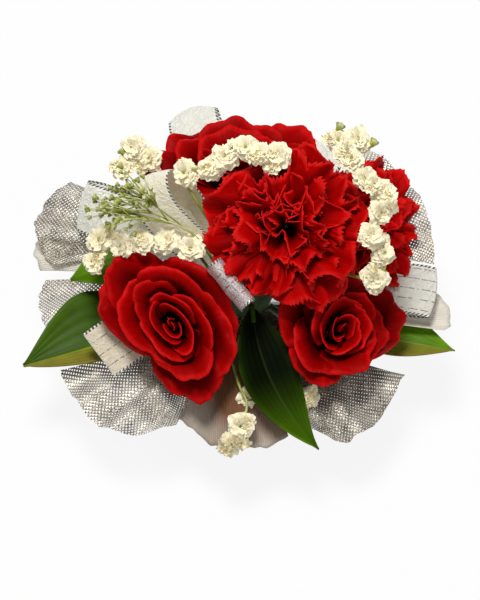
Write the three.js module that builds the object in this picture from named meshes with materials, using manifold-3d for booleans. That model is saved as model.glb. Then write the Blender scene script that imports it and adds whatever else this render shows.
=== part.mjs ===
// Wrist corsage: roses, carnations, leaves, filler sprigs and ribbon on an elastic wristlet.
// Millimetres, +Z up. The origin is the middle of the flat underside of the wristlet band.
import * as THREE from "three";
import { mergeVertices } from "three/addons/utils/BufferGeometryUtils.js";
import Module from "manifold-3d";

const wasm = await Module();
wasm.setup();

// Gap kept between pieces that touch, and how close two vertices are to be one.
const CLEARANCE = 0.3;
const WELD = 0.001;

// Elastic wristlet band: a flattened loop round the wrist, which runs along Y.
const BAND_WIDTH = 25;
const BAND_THICKNESS = 1.2;
const BAND_FLAT = 42;
const BAND_BEND_RADIUS = 11.5;
const BAND_SIDE_ANGLE = 90;
const BAND_BEND_STEPS = 3;

// Stamped clip plate on the band, its rivets and its four bending tabs.
const PLATE_LENGTH = 41;
const PLATE_WIDTH = 17;
const PLATE_THICKNESS = 0.8;
const PLATE_CORNER = 3;
const RIVET_INSET = 3.5;
const RIVET_SHANK_RADIUS = 1.2;
const RIVET_HEAD_RADIUS = 2.3;
const RIVET_HEAD_HEIGHT = 0.7;
const RIVET_HOLE_RADIUS = RIVET_SHANK_RADIUS + CLEARANCE;
const RIVET_X = PLATE_LENGTH / 2 - RIVET_INSET;
const TAB_SPACING = 18;
const TAB_WIDTH = 6;
const TAB_THICKNESS = 0.7;
const TAB_WRAP_END = 78;

// Taped stem bundle: the bar that the tabs hold, and the knob that every wired stem leaves.
const BAR_RADIUS = 3.5;
const BAR_END_ROOM = 0.7;
const BAR_LENGTH = 2 * (RIVET_X - RIVET_HEAD_RADIUS - BAR_END_ROOM);
const NECK_RADIUS = 4.8;
const HUB_RADIUS = 8.5;
const HUB_RISE = 15;
const WIRE_RADIUS = 1.3;

// The corsage faces a viewer at this angle above the table.
const FACE_ANGLE = 60;

// Heights in the layout are measured from a level this far below the hub.
const LAYOUT_DROP = 42.9;

// Roses.
const PETAL_THICKNESS = 0.8;
const PETAL_LAP = 1.4;
const ROSE_PETALS = 5;
const BUD_TURNS = 2.3;
const BUD_HEART = 1.4;
const ROSE_BOWL_WALL = 1.3;
const ROSE_CALYX_LENGTH = 5.5;
const ROSE_CALYX_RADIUS = 4.2;
const SEPAL_REACH = 4.5;
const SEPAL_WIDTH = 4.5;
const SEPAL_THICKNESS = 0.6;
const SEPAL_LAP = 1;

// Shares that shape a rose: of its petals, of its bud, and of the bowl between them.
const PETAL_CORNER_DROP = 0.14;
const PETAL_CLAW = 0.42;
const BUD_FOOT = 0.3;
const BUD_LOWER_TURNS = 0.14;
const BUD_WAVE = 0.05;
const ROSE_BOWL_RISE = 0.42;
const ROSE_BOWL_FOOT = 0.5;
const ROSE_BUD_ROOM = 5;
const OUTER_PETAL = { share: 0.3, spread: 0.7, open: 0.85, roll: 2, rows: 3 };
const MIDDLE_PETAL = { share: 0.85, spread: 0.7, open: 1.8, roll: 0.5, rows: 2 };

// Carnations.
const CARNATION_TURNS = 3;
const CARNATION_TEETH = 11;
const CARNATION_PETALS = 5;
const CARNATION_RUFFLE = 1.3;
const CARNATION_TOOTH = 0.05;
const CARNATION_NOTCH = 0.16;
const CARNATION_CALYX_RADIUS = 5;
const CARNATION_CALYX_LENGTH = 9;
const CARNATION_TOOTH_HEIGHT = 2;
const CARNATION_TOOTH_THICKNESS = 0.6;
const CARNATION_NARROWING = 0.62;
const CARNATION_CLAW_RISE = 0.6;
const CARNATION_RIM = 0.4;

// Outline of a carnation's own space above its calyx, in shares of its diameter and its depth.
const CARNATION_SPACE = [[0.3, 0.15], [0.53, 0.28], [0.53, 0.55], [0.4, 1.05], [0, 1.1]];

// Sides of the turned spaces that flowers keep to themselves.
const SPACE_SIDES = 12;

// Leaves, filler flowers and ribbons.
const LEAF_THICKNESS = 0.7;
const PETIOLE_RADIUS = 0.9;
const SPRIG_RADIUS = 0.65;
const FLORET_RADIUS = 3.9;
const BUD_RADIUS = 1.7;
const RIBBON_WIDTH = 16;
const RIBBON_THICKNESS = 0.5;
const RIBBON_PINCH = 3.2;
const NET_THICKNESS = 0.5;
const NET_PLEAT = 1.2;
const LEAF_POINT = 0.05;
const LEAF_BELLY = 0.8;
const LOOP_PLY_GAP = RIBBON_THICKNESS * 1.6;
const LOOP_OPENING = 1.5;
const FAN_FLARE = 0.15;
const CURVE_STEP = 0.01;

// Outline of a floret from its foot to its heart, in shares of its radius.
const FLORET_OUTLINE = [[0, -0.75], [1, 0], [0.7, 0.55], [0, 0.4]];

// Where the first and the last bud leave the stem of their spray, as shares of its length.
const SPRAY_SHARES = [0.6, 0.98];

// Heights that follow from the sizes above.
const BAND_HEIGHT = 2 * BAND_BEND_RADIUS;
const PLATE_BOTTOM = BAND_HEIGHT + CLEARANCE;
const PLATE_TOP = PLATE_BOTTOM + PLATE_THICKNESS;
const BAR_HEIGHT = PLATE_TOP + CLEARANCE + BAR_RADIUS;
const HUB_HEIGHT = BAR_HEIGHT + HUB_RISE;
const HUB = new THREE.Vector3(0, 0, HUB_HEIGHT);
const UP = new THREE.Vector3(0, 0, 1);
const IDENTITY = new THREE.Matrix4();

const corsage = new THREE.Group();
const keepOuts = [];

const radians = THREE.MathUtils.degToRad;
const FACE_SIN = Math.sin(radians(FACE_ANGLE));
const FACE_COS = Math.cos(radians(FACE_ANGLE));

// Materials.
function finish(color, roughness, metalness = 0) {
  return new THREE.MeshStandardMaterial({ color, roughness, metalness });
}

const ELASTIC = { color: 0xf3f1ec, roughness: 0.8 };
const STEEL = { color: 0xc9ccd0, roughness: 0.35, metalness: 1 };
const TAPE = { color: 0x4c6b35, roughness: 0.75 };
const ROSE_RED = { color: 0xb00812, roughness: 0.5 };
const CARNATION_RED = { color: 0xc60f16, roughness: 0.55 };
const CALYX_GREEN = { color: 0x5c8a3a, roughness: 0.6 };
const LEAF_GREEN = { color: 0x2f6a1e, roughness: 0.4 };
const SPRIG_WHITE = { color: 0xf4f2e2, roughness: 0.7 };
const BUD_GREEN = { color: 0x8a9a4b, roughness: 0.6 };
const SHEER_WHITE = { color: 0xe9e6e4, roughness: 0.45 };
const SILVER_NET = { color: 0xb9bbc0, roughness: 0.35, metalness: 0.6 };

// Geometry to solid and back, with only shared positions kept.
function solidOf(geometry) {
  const bare = geometry.clone();
  bare.deleteAttribute("normal");
  bare.deleteAttribute("uv");
  const welded = mergeVertices(bare, WELD);
  return new wasm.Manifold(new wasm.Mesh({
    numProp: 3,
    vertProperties: new Float32Array(welded.getAttribute("position").array),
    triVerts: new Uint32Array(welded.index.array),
  }));
}

function geometryOf(solid) {
  const mesh = solid.getMesh();
  const geometry = new THREE.BufferGeometry();
  geometry.setAttribute("position", new THREE.BufferAttribute(mesh.vertProperties, 3));
  geometry.setIndex(new THREE.BufferAttribute(mesh.triVerts, 1));
  return geometry;
}

function joined(geometries) {
  return geometryOf(geometries.map(solidOf).reduce((whole, piece) => whole.add(piece)));
}

function cut(geometry, ...tools) {
  return geometryOf(tools.map(solidOf).reduce((rest, tool) => rest.subtract(tool), solidOf(geometry)));
}

// The largest connected body of a solid that a cut may have parted.
function mainBody(solid) {
  return solid.decompose().reduce((best, part) => (part.volume() > best.volume() ? part : best));
}

// Space that later pieces stay out of, kept in the whole object's frame.
function reserve(geometry, matrix = IDENTITY) {
  const space = geometry.clone().applyMatrix4(matrix);
  space.computeBoundingBox();
  keepOuts.push(space);
}

// A piece less the space that earlier pieces have reserved.
function trimmed(geometry, matrix = IDENTITY) {
  const placed = geometry.clone().applyMatrix4(matrix);
  placed.computeBoundingBox();
  const back = matrix.clone().invert();
  const near = keepOuts.filter((space) => space.boundingBox.intersectsBox(placed.boundingBox));
  const solid = near.reduce(
    (rest, space) => rest.subtract(solidOf(space.clone().applyMatrix4(back))),
    solidOf(geometry),
  );
  return geometryOf(mainBody(solid));
}

function addMesh(name, geometry, look, parent = corsage) {
  const mesh = new THREE.Mesh(geometry, finish(look.color, look.roughness, look.metalness));
  mesh.name = name;
  parent.add(mesh);
  return mesh;
}

// A point on the corsage's face: across to the right, up the face, and out towards the viewer.
function onFace(across, up, out) {
  return new THREE.Vector3(
    across,
    up * FACE_SIN - out * FACE_COS,
    up * FACE_COS + out * FACE_SIN + HUB_HEIGHT,
  );
}

function faceDirection(across, up, out) {
  return onFace(across, up, out).sub(onFace(0, 0, 0)).normalize();
}

// The point that shows at the same place on the face, but at a height above the layout's level.
function atHeight(across, up, height) {
  return onFace(across, up, (height - LAYOUT_DROP - up * FACE_COS) / FACE_SIN);
}

// Where a stem that leaves the hub in a direction begins, just clear of the tape.
function hubPort(direction) {
  return HUB.clone().addScaledVector(direction, HUB_RADIUS + CLEARANCE);
}

// A thin box bent onto a surface: place(s, t) is its middle, s from -1 to 1 and t from 0 to 1.
function bentSheet(place, thickness, acrossSteps, alongSteps) {
  const box = new THREE.BoxGeometry(2, 1, thickness, acrossSteps, alongSteps, 1);
  const points = box.getAttribute("position");
  const step = 0.001;
  for (let i = 0; i < points.count; i += 1) {
    const s = points.getX(i);
    const t = points.getY(i) + 0.5;
    const across = place(s + step, t).sub(place(s - step, t));
    const along = place(s, t + step).sub(place(s, t - step));
    const normal = across.cross(along).normalize();
    const point = place(s, t).addScaledVector(normal, points.getZ(i));
    points.setXYZ(i, point.x, point.y, point.z);
  }
  return box;
}

function circleShape(radius, sides) {
  const shape = new THREE.Shape();
  for (let i = 0; i < sides; i += 1) {
    const angle = (i / sides) * 2 * Math.PI;
    const x = radius * Math.cos(angle);
    const y = radius * Math.sin(angle);
    if (i === 0) shape.moveTo(x, y);
    else shape.lineTo(x, y);
  }
  shape.closePath();
  return shape;
}

function tube(path, radius, sides, steps) {
  return new THREE.ExtrudeGeometry(circleShape(radius, sides), { steps, extrudePath: path });
}

function lathe(profile, sides) {
  const turned = new THREE.LatheGeometry(profile.map(([r, z]) => new THREE.Vector2(r, z)), sides);
  return turned.rotateX(Math.PI / 2);
}

// Elastic band, drawn as an outline in X and Z and extruded across its width.
const BAND_INNER_RADIUS = BAND_BEND_RADIUS - BAND_THICKNESS;
const BAND_CORNER_ANGLE = (180 - BAND_SIDE_ANGLE) / 2;

function bandPiece(draw) {
  const shape = new THREE.Shape();
  draw(shape);
  shape.closePath();
  const options = { depth: BAND_WIDTH, bevelEnabled: false, curveSegments: BAND_BEND_STEPS };
  const piece = new THREE.ExtrudeGeometry(shape, options);
  return piece.rotateX(Math.PI / 2).translate(0, BAND_WIDTH / 2, 0);
}

// The flat run above or below the wrist, with the start of the bend at each end.
function bandRun(middleAngle) {
  const end = (BAND_FLAT / 2) * Math.sign(middleAngle);
  const first = radians(middleAngle - BAND_CORNER_ANGLE);
  const middle = radians(middleAngle);
  const last = radians(middleAngle + BAND_CORNER_ANGLE);
  return bandPiece((shape) => {
    shape.absarc(end, BAND_BEND_RADIUS, BAND_BEND_RADIUS, first, middle, false);
    shape.absarc(-end, BAND_BEND_RADIUS, BAND_BEND_RADIUS, middle, last, false);
    shape.absarc(-end, BAND_BEND_RADIUS, BAND_INNER_RADIUS, last, middle, true);
    shape.absarc(end, BAND_BEND_RADIUS, BAND_INNER_RADIUS, middle, first, true);
  });
}

function bandSide(direction) {
  const gap = CLEARANCE / BAND_INNER_RADIUS;
  const half = radians(BAND_SIDE_ANGLE / 2) - gap;
  const middle = direction > 0 ? 0 : Math.PI;
  const centre = (direction * BAND_FLAT) / 2;
  return bandPiece((shape) => {
    shape.absarc(centre, BAND_BEND_RADIUS, BAND_BEND_RADIUS, middle - half, middle + half, false);
    shape.absarc(centre, BAND_BEND_RADIUS, BAND_INNER_RADIUS, middle + half, middle - half, true);
  });
}

function rivetHole(x) {
  const hole = new THREE.CylinderGeometry(RIVET_HOLE_RADIUS, RIVET_HOLE_RADIUS, BAND_BEND_RADIUS, 8);
  return hole.rotateX(Math.PI / 2).translate(x, 0, BAND_HEIGHT);
}

function clipPlate() {
  const halfLength = PLATE_LENGTH / 2;
  const halfWidth = PLATE_WIDTH / 2;
  const shape = new THREE.Shape();
  const corners = [[1, 1, 0], [-1, 1, 90], [-1, -1, 180], [1, -1, 270]];
  for (const [x, y, start] of corners) {
    const centreX = x * (halfLength - PLATE_CORNER);
    const centreY = y * (halfWidth - PLATE_CORNER);
    shape.absarc(centreX, centreY, PLATE_CORNER, radians(start), radians(start + 90), false);
  }
  shape.closePath();
  const options = { depth: PLATE_THICKNESS, bevelEnabled: false, curveSegments: 2 };
  const plate = new THREE.ExtrudeGeometry(shape, options).translate(0, 0, PLATE_BOTTOM);
  return cut(plate, rivetHole(-RIVET_X), rivetHole(RIVET_X));
}

function rivet() {
  const seat = BAND_HEIGHT - BAND_THICKNESS - CLEARANCE;
  const top = PLATE_TOP + CLEARANCE;
  return lathe([
    [0, seat - RIVET_HEAD_HEIGHT],
    [RIVET_HEAD_RADIUS, seat - RIVET_HEAD_HEIGHT],
    [RIVET_HEAD_RADIUS, seat],
    [RIVET_SHANK_RADIUS, seat],
    [RIVET_SHANK_RADIUS, top],
    [RIVET_HEAD_RADIUS, top],
    [RIVET_HEAD_RADIUS * 0.7, top + RIVET_HEAD_HEIGHT],
    [0, top + RIVET_HEAD_HEIGHT],
  ], 8);
}

// One tab: up from the plate's edge, tangent to the stem bar, then wrapped over it.
const TAB_ROOT_Y = PLATE_WIDTH / 2 + CLEARANCE + TAB_THICKNESS / 2;
const TAB_ROOT_Z = PLATE_BOTTOM + PLATE_THICKNESS / 2;

function clipTab() {
  const wrap = BAR_RADIUS + CLEARANCE;
  const middle = wrap + TAB_THICKNESS / 2;
  const drop = TAB_ROOT_Z - BAR_HEIGHT;
  const lean = Math.atan2(drop, TAB_ROOT_Y) + Math.acos(middle / Math.hypot(TAB_ROOT_Y, drop));
  const last = radians(TAB_WRAP_END);
  const halfY = (Math.cos(lean) * TAB_THICKNESS) / 2;
  const halfZ = (Math.sin(lean) * TAB_THICKNESS) / 2;
  const shape = new THREE.Shape();
  shape.moveTo(TAB_ROOT_Y - halfY, TAB_ROOT_Z - halfZ);
  shape.absarc(0, BAR_HEIGHT, wrap, lean, last, false);
  shape.absarc(0, BAR_HEIGHT, wrap + TAB_THICKNESS, last, lean, true);
  shape.lineTo(TAB_ROOT_Y + halfY, TAB_ROOT_Z + halfZ);
  shape.closePath();
  const options = { depth: TAB_WIDTH, bevelEnabled: false, curveSegments: 2 };
  const tab = new THREE.ExtrudeGeometry(shape, options).translate(0, 0, -TAB_WIDTH / 2);
  return tab.rotateZ(Math.PI / 2).rotateY(Math.PI / 2);
}

function hubArc(radius) {
  const start = -Math.acos(NECK_RADIUS / radius);
  const steps = 5;
  return Array.from({ length: steps }, (_, i) => {
    const angle = start + (i / steps) * (Math.PI / 2 - start);
    return [radius * Math.cos(angle), HUB_HEIGHT + radius * Math.sin(angle)];
  });
}

function stemBundle() {
  const bar = new THREE.CylinderGeometry(BAR_RADIUS, BAR_RADIUS, BAR_LENGTH, 10);
  bar.rotateZ(Math.PI / 2).translate(0, 0, BAR_HEIGHT);
  const profile = [
    [0, BAR_HEIGHT],
    [NECK_RADIUS, BAR_HEIGHT],
    ...hubArc(HUB_RADIUS),
    [0, HUB_HEIGHT + HUB_RADIUS],
  ];
  return joined([bar, lathe(profile, 12)]);
}

// A rose petal on its flower's axis: it rises from a base ring, bows out and rolls at the rim.
// Each edge laps its neighbour: one side stands out and down, the other in and up.
function rosePetal(petal) {
  const { turn, baseRadius, baseHeight, reach, rim, spread, open, roll, lapOut, lapDown, rows } = petal;
  const place = (s, t) => {
    const edge = Math.max(t, 0) * (1 - PETAL_CORNER_DROP * s * s);
    const widen = PETAL_CLAW + (1 - PETAL_CLAW) * Math.sin(Math.PI * Math.min(0.6, 0.8 * t));
    const angle = turn + s * spread * widen;
    const radius = baseRadius + (reach - baseRadius) * edge ** open + lapOut * s * t;
    const height = baseHeight + (rim - baseHeight) * edge ** (1 / open) - roll * edge ** 6 - lapDown * s * t;
    return new THREE.Vector3(radius * Math.cos(angle), radius * Math.sin(angle), height);
  };
  return bentSheet(place, PETAL_THICKNESS, 3, rows);
}

// Evenly turned copies round an axis.
function ringOf(count, start, make) {
  return Array.from({ length: count }, (_, i) => make(start + (i / count) * 2 * Math.PI, i));
}

// The rolled petals at a rose's heart, wound as one sheet that widens turn by turn.
function roseBud(budRadius, budHeight, floor) {
  const place = (s, t) => {
    const high = (s + 1) / 2;
    const swell = BUD_FOOT + (1 - BUD_FOOT) * Math.sin(Math.PI * (0.08 + 0.5 * high));
    const radius = (BUD_HEART + (budRadius - PETAL_THICKNESS - BUD_HEART) * t) * swell;
    const angle = -2 * Math.PI * BUD_TURNS * t;
    const crown = 1 - BUD_LOWER_TURNS * t + BUD_WAVE * Math.sin(angle * 1.3);
    const height = floor + budHeight * high * crown;
    return new THREE.Vector3(radius * Math.cos(angle), radius * Math.sin(angle), height);
  };
  return bentSheet(place, PETAL_THICKNESS, 2, 20);
}

// A rose that its neighbours press is narrower across its long way, which is an angle on its face.
function pressing({ longWay, pressed }) {
  const turn = new THREE.Matrix4().makeRotationZ(radians(longWay));
  const squeeze = new THREE.Matrix4().makeScale(1, pressed, 1);
  return turn.clone().multiply(squeeze).multiply(turn.clone().invert());
}

// Rose head, with its receptacle at the origin and its face along +Z.
function roseHead(rose) {
  const { diameter, budRadius, budHeight, rim } = rose;
  const press = pressing(rose);
  const floor = ROSE_BOWL_WALL + CLEARANCE;
  const bowlHeight = budHeight * ROSE_BOWL_RISE;
  const wall = CLEARANCE + ROSE_BOWL_WALL;
  const foot = budRadius * ROSE_BOWL_FOOT;
  const bowl = lathe([
    [0, 0],
    [foot + wall, 0],
    [budRadius + wall, bowlHeight],
    [budRadius + CLEARANCE, bowlHeight],
    [foot + CLEARANCE, ROSE_BOWL_WALL],
    [0, ROSE_BOWL_WALL],
  ], 6);
  const onBowl = (share) => ({
    baseRadius: foot + (budRadius - foot) * share + CLEARANCE + ROSE_BOWL_WALL / 2,
    baseHeight: bowlHeight * share,
  });
  const outer = (turn) => rosePetal({
    ...onBowl(OUTER_PETAL.share), ...OUTER_PETAL, turn, reach: diameter / 2, rim,
    lapOut: 0, lapDown: PETAL_LAP,
  });
  const middle = (turn) => rosePetal({
    ...onBowl(MIDDLE_PETAL.share), ...MIDDLE_PETAL, turn,
    reach: (diameter / 2 + budRadius) / 2, rim: (rim + budHeight) / 2,
    lapOut: PETAL_LAP, lapDown: 0,
  });
  const halfTurn = Math.PI / ROSE_PETALS;
  const petals = [...ringOf(ROSE_PETALS, 0, outer), ...ringOf(ROSE_PETALS, halfTurn, middle)];
  const cup = joined([bowl, ...petals]).applyMatrix4(press);
  const sepalDrop = ROSE_CALYX_LENGTH / 2;
  const space = (grow) => lathe([
    [0, -ROSE_CALYX_LENGTH - grow],
    [ROSE_CALYX_RADIUS + grow, -ROSE_CALYX_LENGTH - grow],
    [foot + wall + SEPAL_REACH + grow, -sepalDrop - grow],
    [foot + wall + SEPAL_REACH + grow, 0],
    [diameter * 0.37 + grow, rim * 0.35],
    [diameter / 2 + PETAL_THICKNESS + grow, rim * 0.75],
    [diameter / 2 + PETAL_THICKNESS + grow, rim],
    [budRadius + ROSE_BUD_ROOM + grow, floor + budHeight + grow],
    [0, floor + budHeight + grow],
  ], SPACE_SIDES).applyMatrix4(press);
  const bud = roseBud(budRadius, budHeight, floor).applyMatrix4(press);
  const calyx = roseCalyx(foot + wall, sepalDrop).applyMatrix4(press);
  return { bud, cup, calyx, space };
}

// The green cup under a rose, with five sepals that fold back from its rim.
function roseCalyx(rimRadius, drop) {
  const cup = lathe([
    [0, -ROSE_CALYX_LENGTH],
    [WIRE_RADIUS + 0.5, -ROSE_CALYX_LENGTH],
    [ROSE_CALYX_RADIUS, -ROSE_CALYX_LENGTH / 2],
    [rimRadius, -CLEARANCE],
    [0, -CLEARANCE],
  ], 8);
  const sepal = (turn) => bentSheet((s, t) => {
    const width = (SEPAL_WIDTH / 2) * Math.max(0.15, Math.sin(Math.PI * (0.4 + 0.58 * t)));
    const radius = rimRadius - SEPAL_LAP + (SEPAL_REACH + SEPAL_LAP / 2) * t;
    const height = -CLEARANCE - PETAL_THICKNESS - (drop - CLEARANCE - PETAL_THICKNESS) * t * t;
    return new THREE.Vector3(radius, s * width, height).applyAxisAngle(UP, turn);
  }, SEPAL_THICKNESS, 1, 2);
  return joined([cup, ...ringOf(ROSE_PETALS, 0.3, sepal)]);
}

// The petals of a carnation: one toothed, ruffled frill wound round the axis, turn inside turn.
// s runs from the claws to the toothed margin, and t from the lowest turn to the heart.
function carnationFrill(diameter, depth) {
  const columns = CARNATION_TURNS * CARNATION_TEETH * 2;
  const claw = PETAL_THICKNESS;
  const place = (s, turned) => {
    const out = Math.max(0, (s + 1) / 2);
    const t = Math.max(0, turned);
    const angle = 2 * Math.PI * CARNATION_TURNS * turned;
    const tooth = CARNATION_TOOTH * Math.cos(Math.PI * columns * t) * out ** 3;
    const notch = CARNATION_NOTCH * Math.abs(Math.cos(CARNATION_PETALS * 0.5 * angle)) ** 6 * out ** 2;
    const reach = (diameter / 2) * (1 - CARNATION_NARROWING * t ** 1.4) * (1 + tooth - notch);
    const radius = claw + (reach - claw) * out;
    const base = PETAL_THICKNESS / 2 + depth * CARNATION_CLAW_RISE * t;
    const margin = depth * (CARNATION_RIM + (1 - CARNATION_RIM) * t ** 0.8);
    const waves = Math.sin(CARNATION_PETALS * 1.5 * angle) * out * out * (1 - 0.6 * t);
    const height = base + (margin - base) * Math.sin((out * Math.PI) / 2) + CARNATION_RUFFLE * waves;
    return new THREE.Vector3(radius * Math.cos(angle), radius * Math.sin(angle), height);
  };
  return bentSheet(place, PETAL_THICKNESS, 2, columns);
}

// Carnation head, with the mouth of its calyx at the origin and its face along +Z.
function carnationHead(carnation) {
  const { diameter, depth } = carnation;
  const space = (grow) => lathe([
    [0, -CARNATION_CALYX_LENGTH - grow],
    [CARNATION_CALYX_RADIUS + grow, -CARNATION_CALYX_LENGTH],
    [CARNATION_CALYX_RADIUS + 1 + grow, 0],
    ...CARNATION_SPACE.map(([wide, high]) => [wide && diameter * wide + grow, depth * high + grow]),
  ], SPACE_SIDES);
  return { head: carnationFrill(diameter, depth), calyx: carnationCalyx(), space };
}

// The calyx is a tube with five pointed teeth round the foot of the petals.
function carnationCalyx() {
  const body = lathe([
    [0, -CARNATION_CALYX_LENGTH],
    [WIRE_RADIUS + 0.6, -CARNATION_CALYX_LENGTH],
    [CARNATION_CALYX_RADIUS * 0.75, -CARNATION_CALYX_LENGTH * 0.85],
    [CARNATION_CALYX_RADIUS, -CARNATION_CALYX_LENGTH * 0.3],
    [CARNATION_CALYX_RADIUS, -CLEARANCE],
    [0, -CLEARANCE],
  ], 8);
  const tooth = (turn) => bentSheet((s, t) => {
    const angle = turn + s * 0.5 * (1 - 0.85 * t);
    const radius = CARNATION_CALYX_RADIUS - CARNATION_TOOTH_THICKNESS * (1 - t);
    const height = CARNATION_TOOTH_HEIGHT * (t - 0.6);
    return new THREE.Vector3(radius * Math.cos(angle), radius * Math.sin(angle), height);
  }, CARNATION_TOOTH_THICKNESS, 1, 1);
  return joined([body, ...ringOf(CARNATION_PETALS, 0, tooth)]);
}

// A point on a quadratic curve from a start, bent towards a via point, to an end.
function bend(start, via, end, q) {
  const p = 1 - q;
  return start.clone().multiplyScalar(p * p).addScaledVector(via, 2 * p * q).addScaledVector(end, q * q);
}

// The direction of that curve.
function heading(start, via, end, q) {
  return bend(start, via, end, q + CURVE_STEP).sub(bend(start, via, end, q - CURVE_STEP)).normalize();
}

// A leaf on a short stalk: a pointed blade, folded a little along its midrib.
function leafBlade(leaf, grow) {
  const { from, via, tip, halves, fold, side } = leaf;
  const place = (s, t) => {
    const middle = bend(from, via, tip, t);
    const along = heading(from, via, tip, t);
    const across = side.clone().addScaledVector(along, -side.dot(along)).normalize();
    const lift = across.clone().cross(along).normalize();
    const full = Math.max(LEAF_POINT, Math.sin(Math.PI * THREE.MathUtils.clamp(t, 0, 1) ** LEAF_BELLY));
    const half = (s < 0 ? halves[0] : halves[1]) * full;
    return middle.addScaledVector(across, s * half).addScaledVector(lift, fold * Math.abs(s) * half);
  };
  return bentSheet(place, LEAF_THICKNESS + 2 * grow, 4, 6);
}

function leafGeometry(leaf, grow = 0) {
  const inside = bend(leaf.from, leaf.via, leaf.tip, 0.08);
  const way = new THREE.CatmullRomCurve3([leaf.port, leaf.stalk, leaf.from, inside]);
  return joined([leafBlade(leaf, grow), tube(way, PETIOLE_RADIUS + grow, 4, 4)]);
}

// A ribbon loop: out from the hub, round a turn at its far end and back, pinched at the hub.
function loopGeometry(loop, grow = 0) {
  const { port, via, end, wide, bulge } = loop;
  const place = (s, t) => {
    const round = 2 * Math.PI * t;
    const q = (1 - Math.cos(round)) / 2;
    const along = heading(port, via, end, q);
    const across = wide.clone().addScaledVector(along, -wide.dot(along)).normalize();
    const over = across.clone().cross(along);
    const puff = bulge * Math.sin(round) * q + LOOP_PLY_GAP * Math.cos(Math.PI * t);
    const open = Math.min(1, Math.abs(Math.sin(Math.PI * t)) * LOOP_OPENING) ** LOOP_OPENING;
    const half = (RIBBON_PINCH + (RIBBON_WIDTH - RIBBON_PINCH) * open) / 2 + grow;
    return bend(port, via, end, q).addScaledVector(over, puff).addScaledVector(across, s * half);
  };
  return bentSheet(place, RIBBON_THICKNESS + 2 * grow, 1, 14);
}

// A gathered fan of net or satin: pinched at the hub, pleated, and cut along its far edge.
function fanGeometry(fan, grow = 0) {
  const { port, via, edge, pleats } = fan;
  const [first, middle, last] = edge;
  const spread = last.clone().sub(first).normalize();
  const place = (s, t) => {
    const far = bend(first, middle, last, (s + 1) / 2);
    const root = port.clone().addScaledVector(spread, (s * RIBBON_PINCH) / 2);
    const control = via.clone().addScaledVector(spread, s * first.distanceTo(last) * FAN_FLARE);
    const wave = NET_PLEAT * Math.sin(Math.PI * pleats * s) * t;
    return bend(root, control, far, t).addScaledVector(UP, wave);
  };
  return bentSheet(place, NET_THICKNESS + 2 * grow, 2 * pleats + 2, 3);
}

// A floret is a little cup that opens along a direction.
function floretGeometry(centre, direction, radius) {
  const cup = lathe(FLORET_OUTLINE.map(([wide, high]) => [wide * radius, high * radius]), 5);
  const turn = new THREE.Quaternion().setFromUnitVectors(UP, direction);
  return cup.applyQuaternion(turn).translate(centre.x, centre.y, centre.z);
}

// A filler sprig: its stem leaves the hub and carries a floret at each later point of its way.
function sprigGeometry(sprig, grow = 0) {
  const { way, bare, radius } = sprig;
  const stem = new THREE.CatmullRomCurve3(way);
  const florets = way.slice(bare).map((centre) => {
    const direction = centre.clone().sub(HUB).normalize();
    return floretGeometry(centre, direction, radius + grow);
  });
  return joined([tube(stem, SPRIG_RADIUS + grow, 3, 2 * way.length), ...florets]);
}

// A spray of buds: each bud stands on a thin stalk of its own from the upper part of the stem.
function sprayGeometry(spray, grow = 0) {
  const { way, buds, radius } = spray;
  const stem = new THREE.CatmullRomCurve3(way);
  const twigs = buds.flatMap((centre, i) => {
    const root = stem.getPoint(THREE.MathUtils.lerp(...SPRAY_SHARES, i / buds.length));
    const direction = centre.clone().sub(root).normalize();
    const stalk = tube(new THREE.LineCurve3(root, centre), SPRIG_RADIUS + grow, 3, 1);
    const bud = lathe([[0, -radius - grow], [radius + grow, 0], [0, radius + grow]], 4);
    const turn = new THREE.Quaternion().setFromUnitVectors(UP, direction);
    return [stalk, bud.applyQuaternion(turn).translate(centre.x, centre.y, centre.z)];
  });
  return joined([tube(stem, SPRIG_RADIUS + grow, 3, way.length), ...twigs]);
}

// A soft piece is fitted among the earlier ones, then keeps its own space.
function addFitted(name, make, spec, look) {
  addMesh(name, trimmed(make(spec)), look);
  reserve(make(spec, CLEARANCE));
}

// Wristlet.
const upperBand = cut(bandRun(90), rivetHole(-RIVET_X), rivetHole(RIVET_X));
addMesh("elastic_upper", upperBand, ELASTIC);
addMesh("elastic_lower", bandRun(-90), ELASTIC);
addMesh("elastic_left", bandSide(-1), ELASTIC);
addMesh("elastic_right", bandSide(1), ELASTIC);
addMesh("clip_plate", clipPlate(), STEEL);
addMesh("rivet_left", rivet(), STEEL).position.x = -RIVET_X;
addMesh("rivet_right", rivet(), STEEL).position.x = RIVET_X;
for (const [name, x, turn] of [
  ["clip_tab_back_left", -TAB_SPACING / 2, 0],
  ["clip_tab_back_right", TAB_SPACING / 2, 0],
  ["clip_tab_front_left", -TAB_SPACING / 2, Math.PI],
  ["clip_tab_front_right", TAB_SPACING / 2, Math.PI],
]) {
  const tab = addMesh(name, clipTab(), STEEL);
  tab.position.x = x;
  tab.rotation.z = turn;
}
addMesh("stem_bundle", stemBundle(), TAPE);

// The faceted knob's own space is a little less than a whole clearance larger than the knob.
const HUB_SPACE = HUB_RADIUS + CLEARANCE * 0.7;
reserve(lathe([
  [0, HUB_HEIGHT - HUB_RADIUS],
  ...hubArc(HUB_SPACE),
  [0, HUB_HEIGHT + HUB_SPACE],
], 16));

// The tabs need room to bend up, so nothing soft goes there.
const TAB_REACH = Math.hypot(TAB_ROOT_Y, BAR_HEIGHT + BAR_RADIUS + CLEARANCE + TAB_THICKNESS - TAB_ROOT_Z);
for (const x of [-TAB_SPACING / 2, TAB_SPACING / 2]) {
  const room = new THREE.BoxGeometry(TAB_WIDTH + 4 * CLEARANCE, 2.2 * TAB_REACH, TAB_REACH);
  reserve(room.translate(x, 0, TAB_ROOT_Z + TAB_REACH / 2));
}

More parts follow.
